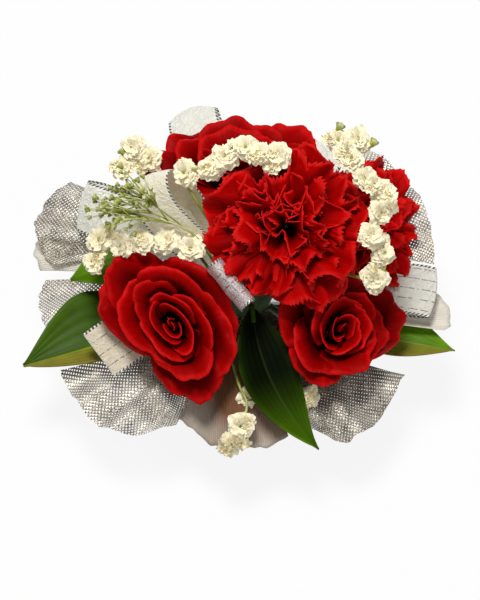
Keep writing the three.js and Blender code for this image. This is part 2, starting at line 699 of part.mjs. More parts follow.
// Flowers: where the middle of each face is, the way it faces, and its sizes.
function placeFlower(flower, depth) {
  const group = new THREE.Group();
  group.quaternion.setFromUnitVectors(UP, flower.facing);
  group.position.copy(flower.face).addScaledVector(flower.facing, -depth);
  group.updateMatrix();
  corsage.add(group);
  return group;
}

function addStem(flower, group, calyxLength) {
  const foot = calyxLength + CLEARANCE;
  const end = group.position.clone().addScaledVector(flower.facing, -foot);
  const port = hubPort(flower.leave);
  const reach = port.distanceTo(end) / 3;
  const way = new THREE.CubicBezierCurve3(
    port,
    port.clone().addScaledVector(flower.leave, reach),
    end.clone().addScaledVector(flower.facing, -reach),
    end,
  );
  addMesh(`${flower.name}_stem`, trimmed(tube(way, WIRE_RADIUS, 6, 4)), TAPE);
  reserve(tube(way, WIRE_RADIUS + CLEARANCE, 6, 4));
}

function addRose(rose) {
  const head = roseHead(rose);
  const group = placeFlower(rose, rose.depth);
  addMesh(`${rose.name}_bud`, trimmed(head.bud, group.matrix), ROSE_RED, group);
  addMesh(`${rose.name}_petals`, trimmed(head.cup, group.matrix), ROSE_RED, group);
  addMesh(`${rose.name}_calyx`, trimmed(head.calyx, group.matrix), CALYX_GREEN, group);
  addStem(rose, group, ROSE_CALYX_LENGTH);
  reserve(head.space(CLEARANCE), group.matrix);
}

function addCarnation(carnation) {
  const head = carnationHead(carnation);
  const group = placeFlower(carnation, carnation.depth);
  addMesh(`${carnation.name}_petals`, trimmed(head.head, group.matrix), CARNATION_RED, group);
  addMesh(`${carnation.name}_calyx`, trimmed(head.calyx, group.matrix), CALYX_GREEN, group);
  addStem(carnation, group, CARNATION_CALYX_LENGTH);
  reserve(head.space(CLEARANCE), group.matrix);
}

addCarnation({
  name: "carnation_centre", face: onFace(11.1, 17.7, 34), facing: faceDirection(0, -0.12, 1),
  leave: faceDirection(0.4, 0.5, 0.75), diameter: 46, depth: 17,
});
addRose({
  name: "rose_left", face: onFace(-24.6, -12, 22), facing: faceDirection(-0.12, -0.05, 1),
  leave: faceDirection(-0.85, -0.45, -0.1), diameter: 52, depth: 19, budRadius: 9.5, budHeight: 16.5,
  rim: 17, longWay: -56, pressed: 0.69,
});
addRose({
  name: "rose_right", face: onFace(31, -12, 19), facing: faceDirection(0.25, 0.05, 0.95),
  leave: faceDirection(0.8, -0.55, -0.15), diameter: 39, depth: 18, budRadius: 8.5, budHeight: 15,
  rim: 14.5, longWay: 60, pressed: 0.82,
});
addRose({
  name: "rose_back", face: onFace(-2.6, 41.5, 3), facing: faceDirection(-0.03, 0.72, 0.69),
  leave: faceDirection(-0.1, 0.9, -0.2), diameter: 54, depth: 19, budRadius: 9.5, budHeight: 15.5,
  rim: 16, longWay: 16, pressed: 0.82,
});
addCarnation({
  name: "carnation_right", face: onFace(40.5, 21, 6), facing: faceDirection(0.5, 0.2, 0.8),
  leave: faceDirection(0.85, 0.35, -0.3), diameter: 41, depth: 15,
});

// Leaves, each with the widths of its two halves beside the midrib.
for (const { name, leave, stalk, from, via, tip, halves, fold } of [
  {
    name: "leaf_left", leave: [-0.93, -0.23, -0.19], stalk: [-17, -2, 35], from: [-28, -11, 29],
    via: [-46, -17, 33], tip: [-66.6, -22.8, 30], halves: [7, 16], fold: 0.3,
  },
  {
    name: "leaf_left_upper", leave: [-0.9, 0.3, 0.1], stalk: [-15, 4, 43], from: [-24, 8, 43],
    via: [-38, 9, 45], tip: [-52.5, 3, 41], halves: [8.5, 8.5], fold: 0.3,
  },
  {
    name: "leaf_right", leave: [0.93, 0.05, -0.32], stalk: [17, -1, 34], from: [30, -12, 27],
    via: [46, -16, 30], tip: [63.3, -18.3, 29], halves: [10, 6], fold: 0.3,
  },
  {
    name: "leaf_front", leave: [0.15, -0.95, 0.2], stalk: [2, -8, 43], from: [2.5, -11, 43.5],
    via: [4, -29, 38], tip: [21.9, -47.4, 27], halves: [8.5, 8.5], fold: 0.3,
  },
]) {
  const [stalkPoint, fromPoint, viaPoint, tipPoint] = [stalk, from, via, tip].map((at) => atHeight(...at));
  addFitted(name, leafGeometry, {
    port: hubPort(faceDirection(...leave)), stalk: stalkPoint, from: fromPoint, via: viaPoint, tip: tipPoint,
    side: tipPoint.clone().sub(fromPoint).cross(UP).normalize(), halves, fold,
  }, LEAF_GREEN);
}

// Sheer ribbon loops.
for (const { name, leave, via, end, wide, bulge } of [
  {
    name: "sheer_loop_centre", leave: [-0.25, 0.05, 0.95], via: onFace(-4, 1, 16),
    end: onFace(-7, -1.6, 27), wide: [0.64, -0.77, 0], bulge: 1.6,
  },
  {
    name: "sheer_loop_inner_left", leave: [-0.4, 0.69, 0.59], via: onFace(-20, 15, 9),
    end: onFace(-26, 31, 14), wide: [0.85, 0.52, 0], bulge: 5,
  },
  {
    name: "sheer_loop_left", leave: [-0.7, 0.61, 0.36], via: atHeight(-24, 18, 50),
    end: atHeight(-50, 26, 50), wide: [0.28, 0.96, 0], bulge: 4,
  },
  {
    name: "sheer_loop_lower_left", leave: [-0.95, -0.25, 0.05], via: atHeight(-31, 6, 39),
    end: atHeight(-44, -19, 40), wide: [0.55, -0.75, 0.35], bulge: 2.5,
  },
  {
    name: "sheer_loop_top", leave: [-0.35, 0.86, -0.38], via: atHeight(-9, 28, 39),
    end: atHeight(-16.5, 53, 44), wide: [0.92, 0.38, 0], bulge: 5,
  },
  {
    name: "sheer_loop_right", leave: [0.98, 0.1, 0.1], via: atHeight(28, 3, 39),
    end: atHeight(57.6, -1, 40), wide: [0, 0.93, -0.3], bulge: 2.5,
  },
  {
    name: "sheer_loop_top_right", leave: [0.35, 0.9, -0.1], via: atHeight(13, 22, 42),
    end: atHeight(24, 45, 49), wide: [1, 0, 0], bulge: 3,
  },
]) {
  const port = hubPort(faceDirection(...leave));
  addFitted(name, loopGeometry, { port, via, end, wide: faceDirection(...wide), bulge }, SHEER_WHITE);
}

// Silver net fans and white satin tails, from their first to their last corner.
for (const { name, leave, via, edge, pleats, look } of [
  {
    name: "net_left_upper", leave: [-0.78, 0.6, 0], via: [-28, 18, 40],
    edge: [[-53, 33, 42], [-72, 22, 40], [-58, 7.8, 37]], pleats: 2, look: SILVER_NET,
  },
  {
    name: "net_left_middle", leave: [-0.95, 0.1, -0.25], via: [-30, 1, 37],
    edge: [[-61, 3, 28], [-65, -4, 28], [-60, -12, 28]], pleats: 1, look: SILVER_NET,
  },
  {
    name: "net_front_left", leave: [-0.65, -0.75, 0], via: [-17, -20, 36],
    edge: [[-55.5, -24, 26], [-46, -54, 26], [-20.7, -40.5, 26]], pleats: 3, look: SILVER_NET,
  },
  {
    name: "net_front_right", leave: [0.65, -0.75, 0], via: [16, -22, 36],
    edge: [[15.6, -36.3, 26], [32, -58, 26], [48.3, -25.5, 26]], pleats: 3, look: SILVER_NET,
  },
  {
    name: "net_right_upper", leave: [0.75, 0.6, -0.05], via: [26, 20, 40],
    edge: [[36.6, 43.2, 44], [58, 34, 44], [57.3, 7.8, 41]], pleats: 2, look: SILVER_NET,
  },
  {
    name: "satin_tail_left", leave: [-0.85, 0.41, -0.29], via: [-30, 8, 38],
    edge: [[-62, 17, 33], [-67, 12, 33], [-62, 6, 33]], pleats: 1, look: SHEER_WHITE,
  },
  {
    name: "satin_tail_right", leave: [0.97, -0.18, -0.07], via: [30, -7, 34],
    edge: [[60, -12, 34], [65, -8, 34], [58, -1, 34]], pleats: 1, look: SHEER_WHITE,
  },
  {
    name: "satin_tail_front", leave: [-0.1, -0.95, 0], via: [-4, -18, 38],
    edge: [[-20, -38, 25], [-6, -54, 25], [13, -43.5, 25]], pleats: 2, look: SHEER_WHITE,
  },
]) {
  const port = hubPort(faceDirection(...leave));
  const corners = edge.map((at) => atHeight(...at));
  addFitted(name, fanGeometry, { port, via: atHeight(...via), edge: corners, pleats }, look);
}

// Filler sprigs: the first points of each way are bare stem, and each later one holds a floret.
for (const { name, leave, bare, way } of [
  { name: "sprig_arc_top", leave: [-0.2, 0.88, 0.42], bare: 2,
    way: [[-13.5, 25, 19], [-18.6, 35.4, 22], [-10.2, 37.5, 27], [-6, 41.5, 28], [0, 44, 30], [4.6, 42.5, 32],
      [9.4, 41.5, 32]] },
  { name: "sprig_arc_right", leave: [0.75, 0.1, 0.6], bare: 2,
    way: [[22, 6.5, 13], [39, 3, 27], [42, 11.1, 28], [38.5, 16.5, 31], [41, 23, 31], [42, 29.5, 28],
      [36, 33.5, 30], [32, 39.5, 28], [28, 45, 25], [34, 45.5, 22]] },
  { name: "sprig_upper_left", leave: [-0.55, 0.8, 0.45], bare: 2,
    way: [[-28, 21.5, 4.5], [-37, 37, 4], [-34, 43, 5], [-29, 39.5, 4]] },
  { name: "sprig_lower_left", leave: [-0.85, 0.1, 0.47], bare: 2,
    way: [[-12, 8, 12], [-16.5, 12.7, 17], [-24, 15, 17], [-31.2, 14.5, 17], [-37.8, 13, 17], [-44.1, 15, 14],
      [-46, 8.5, 13]] },
  { name: "sprig_front", leave: [-0.15, -0.9, 0.3], bare: 4,
    way: [[-4, -18, 6], [-2, -28, 8], [0.5, -34, 11], [-1, -41, 12], [-4, -46.5, 10]] },
]) {
  const stem = [hubPort(faceDirection(...leave)), ...way.map((point) => onFace(...point))];
  addFitted(name, sprigGeometry, { way: stem, bare, radius: FLORET_RADIUS }, SPRIG_WHITE);
}

const sprayWay = [hubPort(faceDirection(-0.62, 0.3, 0.73)), onFace(-15, 16, 18), onFace(-25, 21, 21)];
const sprayBuds = [[-34.8, 30, 22], [-39, 27, 20], [-42.3, 24, 21], [-37, 20.7, 23], [-30, 29, 24]];
addFitted("sprig_buds", sprayGeometry, {
  way: sprayWay, buds: sprayBuds.map((point) => onFace(...point)), radius: BUD_RADIUS,
}, BUD_GREEN);

export default corsage;
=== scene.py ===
"""Wrist corsage: red roses and carnations, leaves, filler sprigs, ribbon and net on an elastic wristlet.

Sizes are millimetres until a mesh is made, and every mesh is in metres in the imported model's frame.
"""
import logging
import math
import random
from dataclasses import dataclass
from enum import Enum
from typing import Sequence

import bpy
import numpy as np
from bpy.types import ID, Material, Node, NodeOutputs, NodeSocket, NodeTree, Object
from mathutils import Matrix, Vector, noise

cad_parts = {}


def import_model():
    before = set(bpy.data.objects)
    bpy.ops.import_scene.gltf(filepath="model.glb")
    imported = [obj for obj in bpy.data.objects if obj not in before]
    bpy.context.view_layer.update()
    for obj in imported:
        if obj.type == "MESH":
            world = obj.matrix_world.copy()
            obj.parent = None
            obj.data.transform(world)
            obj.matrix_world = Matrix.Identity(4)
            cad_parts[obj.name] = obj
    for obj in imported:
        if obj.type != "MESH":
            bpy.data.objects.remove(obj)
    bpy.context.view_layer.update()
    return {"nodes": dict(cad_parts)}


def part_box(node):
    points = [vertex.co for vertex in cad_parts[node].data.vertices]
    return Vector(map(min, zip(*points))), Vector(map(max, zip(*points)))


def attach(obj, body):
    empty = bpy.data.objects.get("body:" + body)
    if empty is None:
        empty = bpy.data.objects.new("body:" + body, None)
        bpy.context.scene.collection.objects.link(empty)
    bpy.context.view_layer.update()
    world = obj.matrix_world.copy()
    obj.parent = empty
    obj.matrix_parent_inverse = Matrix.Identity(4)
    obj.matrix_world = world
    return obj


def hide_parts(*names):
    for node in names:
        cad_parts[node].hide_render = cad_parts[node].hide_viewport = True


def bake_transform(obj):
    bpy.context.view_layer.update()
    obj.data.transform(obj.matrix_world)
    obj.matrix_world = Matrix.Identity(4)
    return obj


LOG = logging.getLogger("wrist_corsage")
MM = 0.001
CLEARANCE = 0.3
GOLDEN_TURN = math.radians(137.508)
UP = np.array([0.0, 0.0, 1.0])
CAD_BODY = "corsage"
STEM_RADIUS = 1.3
STEM_WRAP = 3.2
RIB_PITCH = 1.05
SEPALS = 5

Colour = tuple[float, float, float]
Triple = tuple[float, float, float]
Pair = tuple[float, float]


# Mesh helpers
def unit(vector: np.ndarray) -> np.ndarray:
    """Return a vector scaled to a length of one."""
    return vector / np.linalg.norm(vector)


def units(vectors: np.ndarray) -> np.ndarray:
    """Return an array of vectors, each scaled to a length of one."""
    return vectors / np.linalg.norm(vectors, axis=-1, keepdims=True)


def smooth(low: float, high: float, value: np.ndarray) -> np.ndarray:
    """Return a soft step from 0 at low to 1 at high."""
    x = np.clip((value - low) / (high - low), 0.0, 1.0)
    return x * x * (3.0 - 2.0 * x)


def between(first: float, last: float, share: float) -> float:
    """Return the value that lies a share of the way from first to last."""
    return first + (last - first) * share


def bend(start: np.ndarray, via: np.ndarray, end: np.ndarray, q: np.ndarray) -> np.ndarray:
    """Return points on a quadratic curve that via pulls; q is a share of the way, with a last axis of one."""
    p = 1.0 - q
    return p * p * start + 2.0 * p * q * via + q * q * end


def carried(
    start: np.ndarray, via: np.ndarray, end: np.ndarray, q: np.ndarray, wide: np.ndarray,
) -> tuple[np.ndarray, np.ndarray]:
    """Carry a width along a quadratic curve.

    Args:
        start: First point of the curve.
        via: Point that pulls the curve towards itself.
        end: Last point of the curve.
        q: Share of the way at each point, with a last axis of one.
        wide: The way that the width runs.

    Returns:
        At each point, the direction across the curve nearest to the width, and the direction over both.
    """
    step = 0.01
    along = units(bend(start, via, end, q + step) - bend(start, via, end, q - step))
    across = units(wide - along * (along @ wide)[..., None])
    return across, np.cross(across, along)


def patch(columns: int, rows: int) -> tuple[np.ndarray, np.ndarray]:
    """Return s from -1 to 1 across a sheet and t from 0 to 1 along it, at each of its points."""
    s, t = np.meshgrid(np.linspace(-1, 1, columns), np.linspace(0, 1, rows))
    return s, t


def round_axis(radius: np.ndarray, aside: np.ndarray, height: np.ndarray, angle: float) -> np.ndarray:
    """Return points that lie out along a spoke at an angle round Z, aside to its left, and up Z."""
    sine, cosine = math.sin(angle), math.cos(angle)
    return np.stack([radius * cosine - aside * sine, radius * sine + aside * cosine, height], axis=-1)


def run_length(points: np.ndarray, axis: int = 0) -> np.ndarray:
    """Measure the length run along a way, or along one axis of a grid.

    Args:
        points: A way or a grid of points.
        axis: Axis of the grid that is followed.

    Returns:
        The length at each point, from 0 at the start.
    """
    steps = np.linalg.norm(np.diff(points, axis=axis), axis=-1)
    pad = [(0, 0)] * steps.ndim
    pad[axis] = (1, 0)
    return np.pad(np.cumsum(steps, axis=axis), pad)


def jitter(draw: random.Random, reach: float) -> np.ndarray:
    """Return a random step of up to reach along each axis."""
    return np.array([draw.uniform(-reach, reach) for _ in range(3)])


def wobble(points: np.ndarray, scale: float, seed: float) -> np.ndarray:
    """Return smooth noise from about -1 to 1 at each point, with a scale in bumps per millimetre."""
    flat = points.reshape(-1, 3) * scale + seed
    return np.array([noise.noise(Vector(p)) for p in flat]).reshape(points.shape[:-1])


def spline(points: Sequence[np.ndarray], steps: int) -> np.ndarray:
    """Return evenly numbered points on a smooth curve through the given ones.

    Args:
        points: Points that the curve passes.
        steps: Number of steps between two neighbours.

    Returns:
        An array of points, the last given one included.
    """
    way = np.array(points, float)
    ends = np.vstack([2 * way[0] - way[1], way, 2 * way[-1] - way[-2]])
    rows = []
    for i in range(len(way) - 1):
        a, b, c, d = ends[i:i + 4]
        for q in np.arange(steps) / steps:
            rows.append(0.5 * (2 * b + (c - a) * q + (2 * a - 5 * b + 4 * c - d) * q ** 2
                               + (3 * b - a - 3 * c + d) * q ** 3))
    rows.append(way[-1])
    return np.array(rows)


@dataclass
class Surface:
    """Points, faces and shading values of a mesh that is still being made.

    Attributes:
        points: Vertex places in millimetres.
        faces: Vertex numbers of each face.
        uv: Place of each vertex on its flat pattern.
        tone: One shading value for each vertex.
    """

    points: np.ndarray
    faces: list[tuple[int, ...]]
    uv: np.ndarray
    tone: np.ndarray

    @staticmethod
    def grid(points: np.ndarray, uv: np.ndarray, tone: np.ndarray, ring: bool = False) -> "Surface":
        """Make a surface from rows and columns of points.

        Args:
            points: Array of rows by columns by three.
            uv: Array of rows by columns by two.
            tone: Array of rows by columns.
            ring: Whether the last column joins the first.

        Returns:
            The surface with one four-sided face for each cell.
        """
        rows, columns = points.shape[:2]
        across = columns if ring else columns - 1
        faces = []
        for r in range(rows - 1):
            for c in range(across):
                right = (c + 1) % columns
                faces.append((r * columns + c, r * columns + right,
                              (r + 1) * columns + right, (r + 1) * columns + c))
        return Surface(points.reshape(-1, 3), faces, uv.reshape(-1, 2), tone.reshape(-1))

    @staticmethod
    def joined(parts: Sequence["Surface"]) -> "Surface":
        """Join surfaces.

        Args:
            parts: The surfaces.

        Returns:
            The parts as one surface.
        """
        offset = 0
        faces: list[tuple[int, ...]] = []
        for part in parts:
            faces += [tuple(v + offset for v in face) for face in part.faces]
            offset += len(part.points)
        return Surface(
            np.vstack([p.points for p in parts]), faces,
            np.vstack([p.uv for p in parts]), np.concatenate([p.tone for p in parts]),
        )

    def placed(self, origin: np.ndarray, axis: np.ndarray) -> "Surface":
        """Return a copy with its local Z along axis and its local zero at origin."""
        turn = np.array(Vector(UP).rotation_difference(Vector(axis)).to_matrix())
        return Surface(self.points @ turn.T + origin, self.faces, self.uv, self.tone)


def lathe(profile: Sequence[tuple[float, float]], sides: int) -> Surface:
    """Turn a profile of radius and height round Z.

    Args:
        profile: Pairs of radius and height, from the lowest to the highest, both ends on the axis.
        sides: Number of columns round the axis.

    Returns:
        A closed surface.
    """
    inner = np.array(profile[1:-1], float)
    angle = np.arange(sides) / sides * 2 * math.pi
    points = np.stack([
        inner[:, :1] * np.cos(angle), inner[:, :1] * np.sin(angle),
        np.repeat(inner[:, 1:], sides, axis=1),
    ], axis=-1)
    rows = np.linspace(0.0, 1.0, len(inner))[:, None] + 0 * angle
    uv = np.stack([np.broadcast_to(angle / (2 * math.pi), rows.shape), rows], axis=-1)
    body = Surface.grid(points, uv, rows, ring=True)
    foot, top = len(body.points), len(body.points) + 1
    last = (len(inner) - 1) * sides
    for c in range(sides):
        right = (c + 1) % sides
        body.faces.append((foot, right, c))
        body.faces.append((top, last + c, last + right))
    body.points = np.vstack([body.points, [0, 0, profile[0][1]], [0, 0, profile[-1][1]]])
    body.uv = np.vstack([body.uv, [0.5, 0.0], [0.5, 1.0]])
    body.tone = np.concatenate([body.tone, [0.0, 1.0]])
    return body


def tube(way: np.ndarray, radius: np.ndarray, sides: int) -> Surface:
    """Sweep a round section along a way.

    Args:
        way: Points that the tube follows, in millimetres.
        radius: Radius at each point, or an array of points by sides.
        sides: Number of columns round the tube.

    Returns:
        A closed surface whose v runs along the way in millimetres.
    """
    tangents = units(np.gradient(way, axis=0))
    steep = abs(tangents[0][2]) >= 0.9
    normals = [unit(np.cross(tangents[0], np.array([1.0, 0, 0]) if steep else UP))]
    for tangent in tangents[1:]:
        normals.append(unit(normals[-1] - tangent * normals[-1].dot(tangent)))
    side = np.array(normals)
    other = np.cross(tangents, side)
    angle = np.arange(sides) / sides * 2 * math.pi
    reach = np.broadcast_to(np.asarray(radius, float).reshape(len(way), -1), (len(way), sides))
    ring = side[:, None] * np.cos(angle)[None, :, None] + other[:, None] * np.sin(angle)[None, :, None]
    points = way[:, None] + ring * reach[..., None]
    length = run_length(way)
    uv = np.stack(np.broadcast_arrays(angle / (2 * math.pi), length[:, None]), axis=-1)
    tone = np.broadcast_to((length / length[-1])[:, None], uv.shape[:-1])
    body = Surface.grid(points, uv, tone, ring=True)
    body.faces.append(tuple(range(sides))[::-1])
    body.faces.append(tuple(range((len(way) - 1) * sides, len(way) * sides)))
    return body


def add_object(name: str, data: ID) -> Object:
    """Add an object to the scene.

    Args:
        name: Name of the object.
        data: Mesh, lamp or camera that it holds.

    Returns:
        The new object.
    """
    made = bpy.data.objects.new(name, data)
    bpy.context.scene.collection.objects.link(made)
    return made


def plain_mesh(piece: Object) -> Object:
    """Swap a piece's mesh for its evaluated one and drop its modifiers.

    Args:
        piece: The piece.

    Returns:
        The same piece.
    """
    graph = bpy.context.evaluated_depsgraph_get()
    mesh = bpy.data.meshes.new_from_object(piece.evaluated_get(graph))
    piece.modifiers.clear()
    old = piece.data
    piece.data = mesh
    bpy.data.meshes.remove(old)
    mesh.name = piece.name
    return piece


def make_piece(name: str, surface: Surface, finish: Material, thickness: float = 0.0) -> Object:
    """Make a Blender object from a surface.

    Args:
        name: Name of the piece.
        surface: The mesh in millimetres.
        finish: Material of the piece.
        thickness: Thickness in millimetres that a sheet gets, or 0 for a sheet or solid left as it is.

    Returns:
        The new object, at the origin with its place in its mesh.
    """
    mesh = bpy.data.meshes.new(name)
    mesh.from_pydata((surface.points * MM).tolist(), [], surface.faces)
    corners = np.zeros(len(mesh.loops), np.int32)
    mesh.loops.foreach_get("vertex_index", corners)
    mesh.uv_layers.new(name="UVMap").data.foreach_set("uv", surface.uv[corners].astype(np.float32).ravel())
    tone = mesh.attributes.new("tone", "FLOAT", "POINT")
    tone.data.foreach_set("value", surface.tone.astype(np.float32))
    mesh.polygons.foreach_set("use_smooth", [True] * len(mesh.polygons))
    mesh.materials.append(finish)
    mesh.update()
    piece = add_object(name, mesh)
    if not thickness:
        return piece
    wall = piece.modifiers.new("wall", "SOLIDIFY")
    wall.thickness = thickness * MM
    wall.offset = 0.0
    return plain_mesh(piece)


def settle(piece: Object, slot: str, *nodes: str) -> None:
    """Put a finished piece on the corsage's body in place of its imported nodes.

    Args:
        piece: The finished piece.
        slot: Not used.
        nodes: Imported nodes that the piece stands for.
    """
    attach(piece, CAD_BODY)
    if nodes:
        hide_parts(*nodes)
    LOG.info("%s: %d faces", piece.name, len(piece.data.polygons))


# Shader helpers
NOISE_RANGE: Pair = (0.3, 0.7)


class Canvas:
    """Adds and links the nodes of one tree."""

    def __init__(self, tree: NodeTree) -> None:
        """Start on a tree."""
        self.tree = tree

    def node(self, kind: str, **settings: object) -> Node:
        """Add a node.

        Args:
            kind: Type of the node.
            settings: Its properties.

        Returns:
            The node.
        """
        made = self.tree.nodes.new(kind)
        for name, value in settings.items():
            setattr(made, name, value)
        return made

    def put(self, socket: NodeSocket, value: object) -> None:
        """Link a socket to an output, or set its value.

        Args:
            socket: Input of a node.
            value: An output or a value.
        """
        if isinstance(value, NodeSocket):
            self.tree.links.new(value, socket)
        elif socket.type == "RGBA" and len(value) == 3:
            socket.default_value = (*value, 1.0)
        else:
            socket.default_value = value

    def fed(self, kind: str, inputs: dict[str | int, object], **settings: object) -> NodeOutputs:
        """Add a node and feed its inputs.

        Args:
            kind: Type of the node.
            inputs: Outputs or values by the input's name or number.
            settings: Its properties.

        Returns:
            The node's outputs.
        """
        made = self.node(kind, **settings)
        for name, value in inputs.items():
            self.put(made.inputs[name], value)
        return made.outputs

    def math(self, operation: str, *values: object) -> NodeSocket:
        """Return the result of a Math node on sockets or numbers."""
        return self.fed("ShaderNodeMath", dict(enumerate(values)), operation=operation)[0]

    def plus(self, first: object, second: object, share: float) -> NodeSocket:
        """Return the first value with a share of the second added."""
        return self.math("ADD", first, self.math("MULTIPLY", second, share))

    def scaled(self, colour: object, share: object) -> NodeSocket:
        """Return a colour made darker or lighter by a share."""
        return self.fed("ShaderNodeVectorMath", {0: colour, "Scale": share}, operation="SCALE")[0]

    def mix(self, share: object, first: object, second: object) -> NodeSocket:
        """Return two colours mixed by a share."""
        return self.fed("ShaderNodeMix", {0: share, 6: first, 7: second}, data_type="RGBA")[2]

    def ramp(self, share: object, stops: Sequence[tuple[float, Colour]]) -> NodeSocket:
        """Add a colour ramp.

        Args:
            share: Place along the ramp.
            stops: Places and colours.

        Returns:
            The ramp's colour.
        """
        made = self.node("ShaderNodeValToRGB")
        band = made.color_ramp.elements
        while len(band) < len(stops):
            band.new(0.5)
        for element, (place, colour) in zip(band, stops):
            element.position = place
            element.color = (*colour, 1.0)
        self.put(made.inputs[0], share)
        return made.outputs[0]

    def span(self, value: object, low: float, high: float, first: float, last: float) -> NodeSocket:
        """Return a value mapped from one range to another and held inside it."""
        return self.fed("ShaderNodeMapRange", dict(enumerate((value, low, high, first, last))))[0]

    def flat_pattern(self) -> tuple[NodeSocket, NodeSocket]:
        """Return u and v of the piece's own flat pattern."""
        flat = self.node("ShaderNodeUVMap", uv_map="UVMap").outputs[0]
        return tuple(self.fed("ShaderNodeSeparateXYZ", {0: flat}))[:2]

    def tone(self) -> NodeSocket:
        """Return the shading value that the piece carries."""
        return self.node("ShaderNodeAttribute", attribute_name="tone").outputs["Fac"]

    def vector(self, x: object, y: object, z: object) -> NodeSocket:
        """Return a vector of three sockets or numbers."""
        return self.fed("ShaderNodeCombineXYZ", {0: x, 1: y, 2: z})[0]

    def grain(self, place: object, scale: object, detail: float = 2.0) -> NodeSocket:
        """Return a noise value at a place."""
        return self.fed("ShaderNodeTexNoise", {"Vector": place, "Scale": scale, "Detail": detail})["Fac"]

    def bump(self, height: object, distance: float, strength: float = 1.0) -> NodeSocket:
        """Return a normal that a height has tilted, with the distance in millimetres."""
        inputs = {"Height": height, "Distance": distance * MM, "Strength": strength}
        return self.fed("ShaderNodeBump", inputs)[0]

    def group(self, tree: NodeTree, **values: object) -> NodeOutputs:
        """Place a node group, set its inputs by name and return its outputs."""
        inputs = {name.replace("_", " "): value for name, value in values.items()}
        return self.fed("ShaderNodeGroup", inputs, node_tree=tree)


def group_tree(name: str, inputs: dict[str, float], outputs: Sequence[str]) -> tuple[Canvas, dict, dict]:
    """Start a shader node group of number sockets.

    Args:
        name: Name of the group.
        inputs: Default of each input by name.
        outputs: Names of the outputs.

    Returns:
        The canvas, the inputs' sockets by name and the outputs' sockets by name.
    """
    tree = bpy.data.node_groups.new(name, "ShaderNodeTree")
    for item, value in inputs.items():
        socket = tree.interface.new_socket(name=item, in_out="INPUT", socket_type="NodeSocketFloat")
        socket.default_value = value
    for item in outputs:
        tree.interface.new_socket(name=item, in_out="OUTPUT", socket_type="NodeSocketFloat")
    canvas = Canvas(tree)
    start = canvas.node("NodeGroupInput").outputs
    end = canvas.node("NodeGroupOutput").inputs
    return canvas, {item: start[item] for item in inputs}, {item: end[item] for item in outputs}


class SharedEffects:
    """Shader node groups that more than one finish uses."""

    def __init__(self) -> None:
        """Build the groups once."""
        self.mottle = self._mottle()
        self.threads = self._threads()

    @staticmethod
    def _mottle() -> NodeTree:
        """Build the group for soft blotches and fine grain on Object coordinates.

        Returns:
            The group.
        """
        canvas, given, result = group_tree(
            "soft_mottle", {"Scale": 150.0, "Fine Scale": 1500.0}, ["Blotch", "Fine"])
        place = canvas.node("ShaderNodeTexCoord").outputs["Object"]
        canvas.put(result["Blotch"], canvas.grain(place, given["Scale"], 3.0))
        canvas.put(result["Fine"], canvas.grain(place, given["Fine Scale"]))
        return canvas.tree

    @staticmethod
    def _threads() -> NodeTree:
        """Build the group for two sets of parallel threads: a mask and a rounded height.

        Returns:
            The group.
        """
        canvas, given, result = group_tree(
            "crossed_threads", {"U": 0.0, "V": 0.0, "Pitch": 1.0, "Share": 0.4}, ["Mask", "Height"])
        ridges = []
        for axis in ("U", "V"):
            phase = canvas.math("DIVIDE", given[axis], given["Pitch"])
            off = canvas.math("ABSOLUTE", canvas.math("SUBTRACT", canvas.math("FRACT", phase), 0.5))
            ridges.append(canvas.math("SUBTRACT", canvas.math("MULTIPLY", given["Share"], 0.5), off))
        nearest = canvas.math("MAXIMUM", *ridges)
        canvas.put(result["Mask"], canvas.math("GREATER_THAN", nearest, 0.0))
        canvas.put(result["Height"], canvas.math("MAXIMUM", nearest, 0.0))
        return canvas.tree


class Paint(Canvas):
    """The canvas of a new material, with its Principled shader."""

    def __init__(self, name: str) -> None:
        """Make the material.

        Args:
            name: Name of the material.
        """
        self.material = bpy.data.materials.new(name)
        self.material.use_nodes = True
        super().__init__(self.material.node_tree)
        self.shader = self.tree.nodes["Principled BSDF"]

    def set(self, name: str, value: object) -> None:
        """Link one of the shader's sockets to an output, or set its value."""
        self.put(self.shader.inputs[name], value)

    def roughen(self, grain: NodeSocket, low: float, high: float) -> None:
        """Let a grain vary the roughness from low to high."""
        self.set("Roughness", self.span(grain, *NOISE_RANGE, low, high))


# Finishes
class Ribbon(Enum):
    """The looks of the sheer ribbon: plain or threaded with metal, white, taupe or glittering."""

    WHITE = "white"
    DASHED = "dashed"
    TAUPE = "taupe"
    LINED = "lined"
    GLITTER = "glitter"


